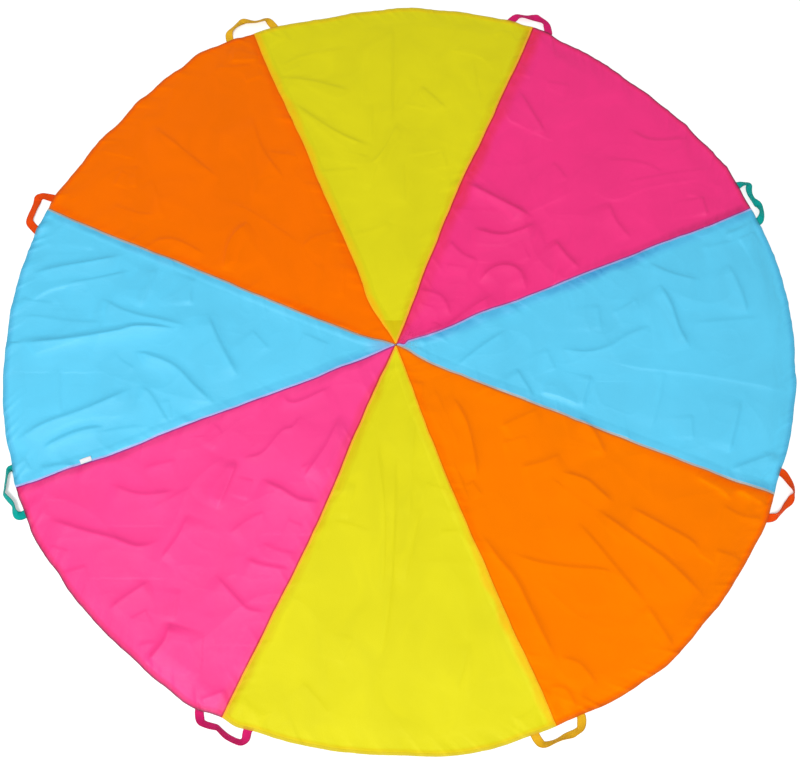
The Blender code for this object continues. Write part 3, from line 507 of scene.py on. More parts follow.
# The painted shadow in the eye at the centre, and the painted shade beside the hem's stitching, in the same
# way
CENTRE_SHADOW_COLOUR = rgba(0.45, 0.12, 0.08)
CENTRE_SHADOW_FADE = (0.0018, 0.0040, 0.9)
HEM_STITCH_SHADE_INSET = 0.007
HEM_STITCH_SHADE_FADE = (0.0004, 0.0018, 0.12)
WEBBING_COLOURS = {
    "amber": rgba(1.0, 0.73, 0.13),
    "red": rgba(1.0, 0.30, 0.01),
    "teal": rgba(0.0, 0.66, 0.62),
    "webbing_pink": rgba(0.88, 0.12, 0.44),
}
STRAP_SHOW = 0.50
# Pitches of the weaves, ribs and twists, in metres
WEAVE_PITCH = 0.0011
HERRINGBONE_WIDTH = 0.0024
TWILL_PITCH = 0.0016
RIB_PITCH = 0.0012
FINE_PITCH = 0.0007
# From where to where across the webbing its edges take painted shade, and how strongly
EDGE_SHADE_RANGE = (0.0070, 0.0094, 0.0, 0.65)
# How much each weave adds to the bump, and how deep the bumps are, in metres
CLOTH_WEAVE_SHARE = 0.12
CLOTH_CRUMPLE_SHARE = 0.6
TWILL_SHARE = 0.6
RIB_SHARE = 0.3
CLOTH_BUMP = 0.00035
WEBBING_BUMP = 0.00022
THREAD_BUMP = 0.00008
LABEL_BUMP = 0.00006
# Noises: waves a metre and detail, then the range that is mapped and what it is mapped to
TIP_FOLD_SHADE_PATCHES = (170.0, 2.0, 0.42, 0.58, 0.15, 1.0)
CLOTH_PATCHES = (26.0, 3.0, 0.30, 0.70, 0.70, 1.0)
CLOTH_LIGHT = (5.0, 2.0, 0.30, 0.70, 0.965, 1.035, "LINEAR")
CLOTH_ROUGHNESS = (60.0, 3.0, 0.3, 0.7, 0.46, 0.58, "LINEAR")
CLOTH_CRUMPLES = (120.0, 4.0)
WEBBING_PATCHES = (40.0, 3.0, 0.35, 0.65, 0.0, 0.35)
WEBBING_ROUGHNESS = (900.0, 2.0, 0.3, 0.7, 0.62, 0.78, "LINEAR")
LABEL_PATCHES = (220.0, 3.0, 0.3, 0.7)
LABEL_LOW = rgba(0.90, 0.91, 0.93)
LABEL_HIGH = rgba(0.98, 0.98, 0.99)
# The painted shadow along the label's fold where it is caught in the seam: colour, then full to, gone at,
# how strong
LABEL_FOLD_SHADOW_COLOUR = rgba(0.62, 0.66, 0.74)
LABEL_FOLD_SHADOW_FADE = (0.0004, 0.0018, 0.5)


def smooth(share):
    """Nought below nought, one above one, and smooth between."""
    share = np.clip(share, 0.0, 1.0)
    return share * share * (3.0 - 2.0 * share)


def stepped(values, place):
    """Smooth steps round a ring of values, at places counted in them."""
    index = np.floor(place).astype(int)
    low = values[index % len(values)]
    high = values[(index + 1) % len(values)]
    return low + (high - low) * smooth(place - index)


def ripple(place, wave, seed):
    """Smooth random waves along one line, from nought to one."""
    values = np.random.default_rng(seed).random(RIPPLE_COUNT)
    place = np.asarray(place) / wave + RIPPLE_START
    index = np.floor(place).astype(int)
    mix = smooth(place - index)
    return values[index % RIPPLE_COUNT] * (1.0 - mix) + values[(index + 1) % RIPPLE_COUNT] * mix


def wandered(value, place, waves, depths, seed, share=1.0):
    """A value with smooth random steps to both sides along one line added to it."""
    for index, (wave, depth) in enumerate(zip(waves, depths)):
        value = value + depth * (2.0 * ripple(place, wave, seed + index) - 1.0) * share
    return value


def polar(radius, angle):
    """The place on the floor at a radius and an angle."""
    return radius * np.cos(angle), radius * np.sin(angle)


def turned(x, y, angle):
    """A place on the floor turned about its middle."""
    return x * math.cos(angle) - y * math.sin(angle), x * math.sin(angle) + y * math.cos(angle)


def unit(vectors):
    """Vectors, each made one long."""
    return vectors / np.linalg.norm(vectors, axis=-1, keepdims=True)


def run_length(points):
    """How far along a line each of its points lies."""
    return np.concatenate([[0.0], np.cumsum(np.linalg.norm(np.diff(points, axis=0), axis=1))])


def make_camera():
    """The camera where the photograph's stood."""
    camera = bpy.data.objects.new("camera", bpy.data.cameras.new("camera"))
    camera.data.lens = LENS_MM
    camera.data.sensor_width = SENSOR_WIDTH_MM
    camera.location = CAMERA_PLACE
    camera.rotation_mode = "QUATERNION"
    camera.rotation_quaternion = (-CAMERA_BACK).to_track_quat("-Z", "Y")
    bpy.context.scene.collection.objects.link(camera)
    bpy.context.scene.camera = camera


def on_floor(pixel):
    """The point of the floor that a pixel of the photograph shows."""
    focal_px = LENS_MM / SENSOR_WIDTH_MM * IMAGE_WIDTH_PX
    forward = -CAMERA_BACK
    right = forward.cross(Vector((0.0, 0.0, 1.0))).normalized()
    up = right.cross(forward)
    across = (pixel[0] - IMAGE_WIDTH_PX / 2) / focal_px
    down = (pixel[1] - IMAGE_HEIGHT_PX / 2) / focal_px
    ray = forward + right * across - up * down
    point = CAMERA_PLACE - ray * (CAMERA_PLACE.z / ray.z)
    return point.x, point.y


def rim_radius(angle):
    """The radius of the rim at each angle, as in the part."""
    gains = np.array(RIM_GAIN_SHARES)
    place = (np.asarray(angle) / math.tau) % 1.0 * len(gains)
    index = np.floor(place).astype(int)
    low = gains[index % len(gains)]
    high = gains[(index + 1) % len(gains)]
    return CANOPY_RADIUS * (1.0 + low + (high - low) * smooth(place - index))


def puckered_rim(angle):
    """The radius of the rim as it shows, puckers and all."""
    radius = rim_radius(angle)
    for degrees, half_width, gain in RIM_PUCKERS:
        turn = (np.degrees(angle) - degrees + 180.0) % 360.0 - 180.0
        radius = radius + gain * smooth(1.0 - np.abs(turn) / half_width)
    along = np.asarray(angle) % math.tau * CANOPY_RADIUS
    return wandered(radius, along, EDGE_WANDER_WAVES, EDGE_WANDERS, RIM_SEED)


def seam_angle(seam, radius):
    """The angle of a seam at each radius, bow and all."""
    radius = np.asarray(radius)
    station = np.minimum(radius / CANOPY_RADIUS, 1.0) * (len(SEAM_STATION_SHARES) - 1)
    inner = smooth(radius / FADE_CENTRE)
    outer = smooth((CANOPY_RADIUS - radius) / FADE_CENTRE)
    at_tip = smooth(1.0 - np.abs(radius - SEAM_TIP_RADIUS) / SEAM_TIP_HALF_WIDTH)
    aside = CANOPY_RADIUS * stepped(np.array(SEAM_BOW_SHARES[seam]), station)
    aside = wandered(aside, radius, SEAM_WANDER_WAVES, SEAM_WANDERS, SEAM_SEED + 10 * seam, inner)
    aside = aside + SEAM_SHIFTS[seam] * (inner * outer)
    aside = aside + SEAM_TIP_SHIFTS.get(seam, 0.0) * at_tip
    return SEAM_ANGLES[seam] + aside / np.maximum(radius, CENTRE_EYE_RADIUS)


def seam_shade(seam, side, radius, gap):
    """How strongly the band beside a seam, painted shade and the allowance showing through, shows at a gap
    from it, on its side 0 or 1.
    """
    strength = np.interp(radius / CANOPY_RADIUS, SEAM_STATION_SHARES, SEAM_SHADE_SHARES[seam][side])
    reach = SEAM_SHADE_WIDE_REACHES.get((seam, side), SEAM_SHADE_REACH)
    seed = SHADE_SEED + 2 * seam + side
    reach = wandered(reach, radius, (SEAM_SHADE_WAVE,), (SEAM_SHADE_WANDER,), seed)
    reach = reach * np.clip(radius / SEAM_SHADE_TIP, SEAM_SHADE_TIP_SHARE, 1.0)
    hold = SEAM_SHADE_HOLD_SHARE * reach
    return strength * (1.0 - smooth((gap - hold) / (reach - hold)))


def handle_axis(seam):
    """The middle of a handle's axis on the floor, and the angle that it faces, as in the part."""
    angle = SEAM_ANGLES[seam]
    along = np.array((-math.sin(angle), math.cos(angle)))
    middle = np.array(polar(rim_radius(angle), angle)) + along * HANDLES[seam][2] * FOOT_SPACING
    feet = []
    for side in (1.0, -1.0):
        foot = middle + along * side * FOOT_SPACING / 2
        foot_angle = math.atan2(foot[1], foot[0])
        feet.append(np.array(polar(rim_radius(foot_angle) + HEM_TO_HANDLE_AXIS, foot_angle)))
    line = feet[0] - feet[1]
    return (feet[0] + feet[1]) / 2, math.atan2(-line[0], line[1])


def swell(x, y, wave, seed):
    """Smooth random waves over the floor, from nought to one."""
    count = int(2 * SWELL_EXTENT / wave) + 3
    values = np.random.default_rng(seed).random((count, count))
    u, v = turned(x, y, seed)
    u = (u + SWELL_EXTENT) / wave
    v = (v + SWELL_EXTENT) / wave
    i = np.floor(u).astype(int)
    j = np.floor(v).astype(int)
    s = smooth(u - i)
    t = smooth(v - j)
    low = values[i, j] * (1.0 - s) + values[i + 1, j] * s
    high = values[i, j + 1] * (1.0 - s) + values[i + 1, j + 1] * s
    return low * (1.0 - t) + high * t


def crumple(x, y, wave, seed):
    """Wandering folds over the floor, sharp along their crests, from nought to one."""
    u, v = turned(x, y, math.radians(CRUMPLE_TURN_DEGREES * seed))
    bend = CRUMPLE_BEND_SHARE * wave
    bend_wave = CRUMPLE_BEND_WAVE_SHARE * wave
    u = u + bend * (swell(x, y, bend_wave, seed + 1) - 0.5)
    v = v + bend * (swell(x, y, bend_wave, seed + 2) - 0.5)
    return (1.0 - np.abs(2.0 * swell(u, v, wave, seed + 3) - 1.0)) ** 3


def smooth_line(points, steps):
    """Points along a smooth curve through the given ones."""
    points = np.array(points, float)
    ends = np.concatenate([points[:1] * 2 - points[1:2], points, points[-1:] * 2 - points[-2:-1]])
    line = []
    for before, start, end, after in zip(ends, ends[1:], ends[2:], ends[3:]):
        lead = (end - before) / 2
        trail = (after - start) / 2
        for mix in np.arange(steps) / steps:
            line.append(
                start * (2 * mix ** 3 - 3 * mix ** 2 + 1) + lead * (mix ** 3 - 2 * mix ** 2 + mix)
                + end * (3 * mix ** 2 - 2 * mix ** 3) + trail * (mix ** 3 - mix ** 2)
            )
    return np.array([*line, points[-1]])


def crease_lines():
    """Every crease: its line on the floor, its strength, and which side is the steep one."""
    creases = []
    for table, shaded in ((SHADED_CREASES_PX, True), (LIT_CREASES_PX, False)):
        for strength, *pixels in table:
            line = smooth_line([on_floor(pixel) for pixel in pixels], CREASE_STEPS)
            run = line[-1] - line[0]
            lit_left = float(np.array((-run[1], run[0])) @ KEY_DIRECTION) > 0.0
            creases.append((line, strength, 1.0 if lit_left != shaded else -1.0))
    return creases


def beside_line(points, line):
    """How far points are from a line, their share of the way along it, and the sign of their side."""
    run = np.diff(line, axis=0)
    length = np.linalg.norm(run, axis=1)
    gap = points[:, None] - line[:-1]
    share = np.clip((gap * run).sum(2) / (length * length), 0.0, 1.0)
    distance = np.linalg.norm(gap - share[..., None] * run, axis=2)
    nearest = distance.argmin(1)
    each = (np.arange(len(points)), nearest)
    side = np.sign(run[nearest, 0] * gap[each][:, 1] - run[nearest, 1] * gap[each][:, 0])
    travelled = run_length(line)
    along = (travelled[nearest] + share[each] * length[nearest]) / travelled[-1]
    return distance[each], along, side


def crease_lift(points, line, strength, steep_side):
    """How far one crease lifts the points near it, steep on one side and gentle on the other."""
    distance, along, side = beside_line(points, line)
    ends = smooth(along / CREASE_END_SHARE) * smooth((1.0 - along) / CREASE_END_SHARE)
    width = np.where(side * steep_side > 0.0, CREASE_STEEP_WIDTHS[strength], CREASE_GENTLE_WIDTH)
    away = np.hypot(distance, CREASE_ROUNDING) - CREASE_ROUNDING
    return CREASE_HEIGHTS[strength] * ends * np.exp(-away / width)


def crease_height(x, y):
    """How far all the creases together lift the cloth at each place."""
    points = np.stack([x, y], 1)
    height = np.zeros_like(x)
    for line, strength, steep_side in CREASES:
        low = line.min(0) - CREASE_REACH
        high = line.max(0) + CREASE_REACH
        near = np.flatnonzero(((points > low) & (points < high)).all(1))
        if len(near):
            lift = crease_lift(points[near], line, strength, steep_side)
            lower = np.minimum(height[near], lift)
            height[near] = np.maximum(height[near], lift) + CREASE_OVERLAP_SHARE * lower
    return height


def seam_puckers(seam, radius, angle):
    """How far the sewing of one seam draws up the cloth on both sides of it."""
    turn = (angle - seam_angle(seam, radius) + math.pi) % math.tau - math.pi
    offset = np.where(np.abs(turn) < math.pi / 2, radius * np.sin(turn), 1.0)
    gap = np.abs(offset)
    near = np.exp(-((gap / SEAM_PUCKER_REACH) ** 2 * SEAM_PUCKER_FALL))
    least = SEAM_PUCKER_LEAST_SHARE
    near = near * (least + (1.0 - least) * smooth(gap / SEAM_PUCKER_EASE))
    shear = radius + SEAM_PUCKER_SHEAR * gap * (1 if seam % 2 else -1)
    lift = np.zeros_like(radius)
    for index, (wave, crest) in enumerate(zip(SEAM_PUCKER_WAVES, SEAM_PUCKER_HEIGHTS)):
        seed = SEAM_PUCKER_SEED + 10 * seam + index
        waves = np.where(offset > 0.0, ripple(shear, wave, seed), ripple(shear, wave, seed + 5))
        lift = lift + crest * waves ** 3
    return lift * near * smooth(radius / FADE_CENTRE)


def hem_puckers(angle, inset):
    """How far the sewing of the hem draws up the cloth near the rim."""
    place = angle * CANOPY_RADIUS + HEM_PUCKER_SHEAR * inset
    lift = sum(
        crest * ripple(place, wave, HEM_PUCKER_SEED + index) ** 2
        for index, (wave, crest) in enumerate(zip(HEM_PUCKER_WAVES, HEM_PUCKER_HEIGHTS))
    )
    return lift * np.exp(-((inset / HEM_PUCKER_REACH) ** 2 * HEM_PUCKER_FALL))


def soft_swell(x, y):
    """How far the cloth swells and crumples between the seams."""
    lift = np.zeros_like(x)
    for index, (wave, crest) in enumerate(zip(SWELL_WAVES, SWELL_HEIGHTS)):
        risen = np.maximum(swell(x, y, wave, SWELL_SEED + index) - SWELL_FLOOR, 0.0)
        lift = lift + crest * risen ** 2 / (risen + SWELL_EASE)
    for index, (wave, crest) in enumerate(zip(CRUMPLE_WAVES, CRUMPLE_HEIGHTS)):
        lift = lift + crest * crumple(x, y, wave, CRUMPLE_SEED + 10 * index)
    return lift


def relief_gain(angle):
    """How much more or less the cloth rises on one gore than another, eased across the seams."""
    places = []
    gains = []
    for index, (name, *_) in enumerate(GORES):
        start = SEAM_DEGREES[index - 1] - (360.0 if index == 0 else 0.0)
        places += [start + RELIEF_EASE_DEGREES, SEAM_DEGREES[index] - RELIEF_EASE_DEGREES]
        gains += [RELIEF_GAINS[name]] * 2
    return np.interp(np.degrees(angle) % 360.0, places, gains, period=360.0)


def pocket_share(x, y, ease):
    """How near each place is to a strap's end under it, from nought to one."""
    share = np.zeros_like(x)
    for seam, (*_, loop) in enumerate(HANDLES):
        middle, facing = handle_axis(seam)
        out, along = turned(x - middle[0], y - middle[1], -facing)
        feet = [np.abs(along - loop[end][0] * FOOT_SPACING / 2) for end in (0, -1)]
        beside = np.minimum(*feet) - HALF_WEBBING
        outside = np.maximum(np.maximum(beside, -out - STRAP_END_LENGTH), 0.0)
        share = np.maximum(share, 1.0 - smooth(outside / ease))
    return share


def cloth_lift(x, y):
    """How far creases, puckers, swell and strap ends lift every layer of the canopy."""
    radius = np.hypot(x, y)
    angle = np.arctan2(y, x)
    inset = puckered_rim(angle) - radius
    inner = smooth(inset / HEM_PUCKER_REACH) * smooth(radius / FADE_CENTRE)
    height = crease_height(x, y) + hem_puckers(angle, inset) + inner * soft_swell(x, y)
    height = height + sum(seam_puckers(seam, radius, angle) for seam in range(len(SEAM_ANGLES)))
    return height * relief_gain(angle) + POCKET_LIFT * pocket_share(x, y, POCKET_EASE)


def hem_profile(inset):
    """The lift of the hem's top at each distance from the rim."""
    lift = HEM_LIFT * smooth((HEM_WIDTH + HEM_STEP - inset) / HEM_STEP)
    puff = HEM_PUFF * np.sin(math.pi * np.clip(inset / HEM_STITCH_INSET, 0.0, 1.0))
    return lift + np.where(inset < HEM_WIDTH, puff, 0.0)


def lap_lift(gap):
    """How high a gore that laps over lies at a gap from its seam."""
    return LAP_LIFT * (1.0 - smooth((gap - SEAM_ALLOWANCE - LAP_START) / LAP_EASE))


def top_of_cloth(x, y, lap):
    """The top of the cloth where a lap lifts it so far, for thread and label to lie on."""
    inset = puckered_rim(np.arctan2(y, x)) - np.hypot(x, y)
    return CLOTH_REST + lap + hem_profile(inset) + cloth_lift(x, y)


def mesh_object(name, points, faces):
    """A smooth-shaded mesh object from an array of points and a list of faces."""
    mesh = bpy.data.meshes.new(name)
    mesh.from_pydata(points.tolist(), [], faces)
    mesh.shade_smooth()
    item = bpy.data.objects.new(name, mesh)
    bpy.context.scene.collection.objects.link(item)
    return item


def add_attribute(item, name, values):
    """Store one number a point for the materials to read."""
    attribute = item.data.attributes.new(name, "FLOAT", "POINT")
    attribute.data.foreach_set("value", np.asarray(values, np.float32).ravel())


def grid_faces(rows, columns):
    """The faces between the points of a grid."""
    corner = (np.arange(rows - 1)[:, None] * columns + np.arange(columns - 1)).ravel()
    return np.stack([corner, corner + columns, corner + columns + 1, corner + 1], 1).tolist()


def tube_faces(first, rings, sides):
    """The faces round a tube of rings of points, and the two that close its ends."""
    walls = []
    for ring in range(rings - 1):
        start = first + ring * sides
        for side in range(sides):
            a = start + side
            b = start + (side + 1) % sides
            walls.append((a, b, b + sides, a + sides))
    last = first + (rings - 1) * sides
    return walls, [tuple(range(first, first + sides))[::-1], tuple(range(last, last + sides))]


def blend_over_fold(piece):
    """Apply a piece of the canopy's placement to its mesh."""
    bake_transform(piece)


def both_sides(side):
    """What the columns beside one seam have, noughts between, and the same beside the other."""
    return np.concatenate([side, np.zeros(MIDDLE_COLUMNS, side.dtype), side[::-1]])


class Gore:
    """One gore as one continuous sheet, hem and seam edges turned under."""

    def __init__(self, index):
        self.name, self.cloth, self.laps_over, self.nodes = GORES[index]
        self.first_seam = (index - 1) % len(GORES)
        self.next_seam = index
        self.turn = math.tau if index == 0 else 0.0
        self.set_columns()
        self.set_rows()
        self.place_points()
        self.measure_gaps()

    def set_columns(self):
        """Columns from seam to seam: how far from it, whether tucked under, how far at most."""
        tucked = RETURN_OFFSETS if self.laps_over else ALLOWANCE_OFFSETS
        shown = (-EDGE_BULGE, *OVER_OFFSETS) if self.laps_over else (0.0, *UNDER_OFFSETS)
        offsets = np.array(tucked + shown)
        self.side_count = len(offsets)
        self.offset = both_sides(offsets)
        self.tucked = both_sides(np.arange(len(offsets)) < len(tucked))
        self.limit = both_sides(EDGE_LIMIT_SHARE * np.abs(offsets) / np.abs(offsets).max())

    def set_rows(self):
        """Rows from the tip to the rim and round under the hem: share of the way out, and inset."""
        insets = HEM_INSETS + STRIP_INSETS
        inner = np.arange(INNER_ROWS + 1) / INNER_ROWS
        self.share = np.concatenate([inner, np.ones(len(insets))])[:, None]
        self.inset = np.concatenate([np.zeros(len(inner)), insets])[:, None]
        self.in_hem = (np.arange(len(self.share)) > INNER_ROWS)[:, None]

    def seam_angles(self):
        """The angles of both seams at every point's radius."""
        start = seam_angle(self.first_seam, self.radius)
        return start, seam_angle(self.next_seam, self.radius) + self.turn

    def place_points(self):
        """The angle and radius of every point, in rounds, since each hangs on the other."""
        tucked_hem = self.in_hem & self.tucked
        reach = np.where(tucked_hem, np.minimum(self.offset, EDGE_BULGE), self.offset)
        self.radius = CANOPY_RADIUS * self.share + np.zeros_like(reach)
        for _ in range(GRID_ROUNDS):
            self.angle = self.spread_columns(reach)
            self.rim = puckered_rim(self.angle)
            inner = CENTRE_EYE_RADIUS + (self.rim - HEM_ZONE - CENTRE_EYE_RADIUS) * self.share
            self.radius = np.where(self.in_hem, self.rim - self.inset, inner)
        if not self.laps_over:
            shorter = np.minimum(self.radius, self.rim - ALLOWANCE_TO_RIM)
            self.radius = np.where(tucked_hem, shorter, self.radius)

    def spread_columns(self, reach):
        """The angles of the columns: near the seams by their reach, evenly spread between."""
        start, end = self.seam_angles()
        most = self.limit * (end - start) / 2
        swing = np.sign(reach) * np.minimum(np.abs(reach) / self.radius.clip(CENTRE_EYE_RADIUS), most)
        count = self.side_count
        angle = start + swing
        angle[:, -count:] = (end - swing)[:, -count:]
        first = angle[:, count - 1:count]
        last = angle[:, -count:1 - count]
        spread = np.linspace(0.0, 1.0, MIDDLE_COLUMNS + 2)[1:-1]
        angle[:, count:-count] = first + (last - first) * spread
        return angle

    def measure_gaps(self):
        """How far every point is from the nearer seam, and whether that is the first."""
        start, end = self.seam_angles()
        from_first = np.abs(self.angle - start)
        from_next = np.abs(end - self.angle)
        self.gap = np.minimum(from_first, from_next) * self.radius
        self.toward_first = from_first < from_next

    def layers(self):
        """How high every point lies over the floor before the cloth's relief."""
        base = np.full_like(self.radius, CLOTH_REST)
        hem = hem_profile(self.rim - self.radius)
        if self.laps_over:
            base += lap_lift(self.gap)
        else:
            hem = hem * smooth(self.gap / HEM_SEAM_EASE)
            hem[:, self.tucked] = 0.0
        z = base + hem
        edge = -len(STRIP_INSETS) - 1
        z[edge] = base[edge] + HEM_EDGE_SHARE * hem[edge]
        z[edge + 1:] = base[edge + 1:] - HEM_STRIP_DROP
        if self.laps_over:
            z[:INNER_ROWS + 1, self.tucked] = RETURN_REST
            z[:INNER_ROWS + 1, self.offset < 0.0] = (RETURN_REST + CLOTH_REST + LAP_LIFT) / 2
            z[:, self.tucked] -= TUCKED_DROP
        else:
            z[:, self.tucked] = np.minimum(z[:, self.tucked], ALLOWANCE_REST)
        return z.ravel()

    def shade(self):
        """How strongly the band of painted shade and showing allowance lies at every point beside the nearer
        seam.
        """
        near_first = seam_shade(self.first_seam, 0, self.radius, self.gap)
        near_next = seam_shade(self.next_seam, 1, self.radius, self.gap)
        return np.where(self.toward_first, near_first, near_next)

    def build(self):
        """The sheet itself, with what its material reads stored at its points."""
        x, y = (line.ravel() for line in polar(self.radius, self.angle))
        points = np.stack([x, y, self.layers() + cloth_lift(x, y)], 1)
        sheet = mesh_object("cloth_" + self.name, points, grid_faces(*self.gap.shape))
        inset = self.rim - self.radius
        at_rim = 1.0 - smooth(inset / STRAP_SHOW_DEPTH).ravel()
        add_attribute(sheet, "seam_distance", np.where(self.tucked, -self.gap, self.gap))
        add_attribute(sheet, "rim_distance", inset)
        add_attribute(sheet, "toward_first_seam", self.toward_first)
        add_attribute(sheet, "centre_distance", self.radius)
        add_attribute(sheet, "shade", self.shade())
        add_attribute(sheet, "strap_near", at_rim * pocket_share(x, y, STRAP_SHOW_EASE))
        sheet.data.materials.append(cloth_material(self.name, self.cloth, self.first_seam, self.next_seam))
        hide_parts(*("gore_" + node for node in self.nodes))
        blend_over_fold(sheet)
        return sheet


def stitch_points(start, end):
    """The rings of points of one stitch, thin and sunk at both ends."""
    run = unit(end - start)
    across = unit(np.cross(run, (0.0, 0.0, 1.0)))
    up = np.cross(across, run)
    points = []
    for share, size in STITCH_RING_SHARES:
        middle = start + (end - start) * share - up * (1.0 - size) * STITCH_RADIUS
        for turn in np.arange(STITCH_SIDES) * math.tau / STITCH_SIDES:
            spoke = across * math.cos(turn) + up * math.sin(turn)
            points.append(middle + spoke * STITCH_RADIUS * size)
    return points


def make_stitches(name, radius, angle, lap, cloth, nodes):
    """A row of stitches at radii and angles, on cloth that a lap lifts so far."""
    x, y = polar(radius, angle)
    path = np.stack([x, y, top_of_cloth(x, y, lap) + STITCH_RADIUS / 2], 1)
    travelled = run_length(path)
    points = []
    faces = []
    for start in np.arange(int((travelled[-1] - STITCH_LENGTH) / STITCH_PITCH)) * STITCH_PITCH:
        ends = [
            np.array([np.interp(place, travelled, path[:, axis]) for axis in range(3)])
            for place in (start, start + STITCH_LENGTH)
        ]
        walls, caps = tube_faces(len(points), len(STITCH_RING_SHARES), STITCH_SIDES)
        faces += walls + caps
        points += stitch_points(*ends)
    stitches = mesh_object(name, np.array(points), faces)
    stitches.data.materials.append(THREADS[cloth])
    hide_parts(*nodes)
    blend_over_fold(stitches)
    return stitches


def make_seam_stitches(seam):
    """The stitching of one seam, on the gore that laps over."""
    ahead = GORES[(seam + 1) % len(GORES)]
    inset = SEAM_STITCH_INSET if ahead[2] else -SEAM_STITCH_INSET
    cloth = ahead[1] if ahead[2] else GORES[seam][1]
    stop = float(puckered_rim(SEAM_ANGLES[seam])) - SEAM_STITCH_STOP
    radius = np.linspace(SEAM_STITCH_START, stop, SEAM_STITCH_STEPS)
    angle = seam_angle(seam, radius) + inset / radius
    name = SEAM_NAMES[seam]
    return make_stitches("seam_thread_" + name, radius, angle, LAP_LIFT, cloth, ["seam_stitch_" + name])


def make_hem_stitches(gore):
    """The stitching that holds down the hem of one gore."""
    start = SEAM_ANGLES[gore.first_seam] - gore.turn
    end = SEAM_ANGLES[gore.next_seam]
    margin = HEM_STITCH_END_GAP / CANOPY_RADIUS
    angle = np.linspace(start + margin, end - margin, HEM_STITCH_STEPS)
    radius = puckered_rim(angle) - HEM_STITCH_INSET
    gap = np.minimum(angle - start, end - angle) * radius
    lap = lap_lift(gap) if gore.laps_over else 0.0
    nodes = ["hem_stitch_" + node for node in gore.nodes]
    return make_stitches("hem_thread_" + gore.name, radius, angle, lap, gore.cloth, nodes)


def webbing_section():
    """The outline of the webbing's section: how far across and how far through, in metres."""
    outline = [(share, 1.0) for share in SECTION_SHARES] + [(1.0, 0.0)]
    outline += [(-share, -1.0) for share in SECTION_SHARES] + [(-1.0, 0.0)]
    across, through = np.array(outline).T
    thin = np.where(np.abs(across) < THIN_EDGE_START, 1.0, THIN_EDGE_SHARE)
    selvedge = np.where(np.abs(across) > 1.0 - SELVEDGE / HALF_WEBBING, SELVEDGE_LIFT, 0.0)
    return across * HALF_WEBBING, through * (WEBBING / 2 * thin + selvedge)


def strap_path(loop):
    """The middle line of a strap, as out from the handle's axis, along it and up, and its tilt."""
    path = smooth_line(loop, LOOP_STEPS // (len(loop) - 1))
    tail = np.linspace(STRAP_END_LENGTH, 0.0, TAIL_STEPS, endpoint=False)
    out = np.concatenate([-tail, path[:, 1].clip(0.0) * HANDLE_REACH, -tail[::-1]])
    along = np.pad(path[:, 0] * FOOT_SPACING / 2, TAIL_STEPS, "edge")
    tilt = np.pad(np.radians(path[:, 2]), TAIL_STEPS)
    rise = HALF_WEBBING * np.abs(np.sin(tilt)) + WEBBING / 2 * np.cos(tilt)
    return np.stack([out, along, rise], 1), tilt


def strap_axes(centre, tilt):
    """The ways across the webbing and out of its face, along its middle line."""
    heading = unit(np.gradient(centre[:, :2], axis=0))
    padded = np.pad(heading, ((HEADING_EASE, HEADING_EASE), (0, 0)), "edge")
    heading = unit(sum(padded[step:step + len(heading)] for step in range(2 * HEADING_EASE + 1)))
    level = np.stack([-heading[:, 1], heading[:, 0]], 1)
    ruling = np.concatenate([level * np.cos(tilt)[:, None], np.sin(tilt)[:, None]], 1)
    forward = np.concatenate([heading, np.zeros((len(heading), 1))], 1)
    return ruling[:, None], np.cross(forward, ruling)[:, None]


def make_strap(seam):
    """One handle: a single length of webbing, end under the hem to end under the hem."""
    name, webbing, _, loop = HANDLES[seam]
    middle, facing = handle_axis(seam)
    centre, tilt = strap_path(loop)
    ruling, normal = strap_axes(centre, tilt)
    across, through = webbing_section()
    points = centre[:, None] + ruling * across[:, None] + normal * through[:, None]
    out, along, z = points.reshape(-1, 3).T
    x, y = turned(out, along, facing)
    points = np.stack([middle[0] + x, middle[1] + y, np.maximum(z, STRAP_REST)], 1)
    # The section runs the other way round than a stitch's rings, so each face is turned over
    walls, caps = tube_faces(0, len(centre), len(across))
    faces = [face[:1] + face[:0:-1] for face in walls] + [face[::-1] for face in caps]
    strap = mesh_object("strap_" + name.removeprefix("handle_"), points, faces)
    add_attribute(strap, "along", np.repeat(run_length(centre), len(across)))
    add_attribute(strap, "across", np.tile(across, len(centre)))
    strap.data.materials.append(WEBBINGS[webbing])
    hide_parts(name, name + "_end_a", name + "_end_b")
    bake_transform(strap)


def make_label():
    """The bare label: a short woven tape caught in a seam, its free edge lifting."""
    radius = CANOPY_RADIUS - LABEL_TO_RIM
    row, column = (grid.ravel() for grid in np.mgrid[:LABEL_ROWS, :LABEL_COLUMNS])
    along = (row / (LABEL_ROWS - 1) - 0.5) * LABEL_LENGTH
    share = column / (LABEL_COLUMNS - 1)
    across = share * LABEL_WIDTH
    x, y = turned(radius - along, -across, float(seam_angle(LABEL_SEAM, radius)))
    waves = 1.0 + LABEL_CURL_SHARE * np.sin(LABEL_CURL_TURN * row / LABEL_ROWS)
    top = top_of_cloth(x, y, LAP_LIFT)
    bridge = top.max() * LABEL_STIFF_SHARE + top * (1.0 - LABEL_STIFF_SHARE)
    points = np.stack([x, y, bridge + LABEL_CLEARANCE + LABEL_CURL * share ** 2 * waves], 1)
    label = mesh_object("label", points, grid_faces(LABEL_ROWS, LABEL_COLUMNS))
    add_attribute(label, "along", along)
    add_attribute(label, "across", across)
    thicken = label.modifiers.new("tape", "SOLIDIFY")
    thicken.thickness = LABEL
    thicken.offset = 0.0
    label.data.materials.append(label_material())
    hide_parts("care_label")
    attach(label, "canopy_left")


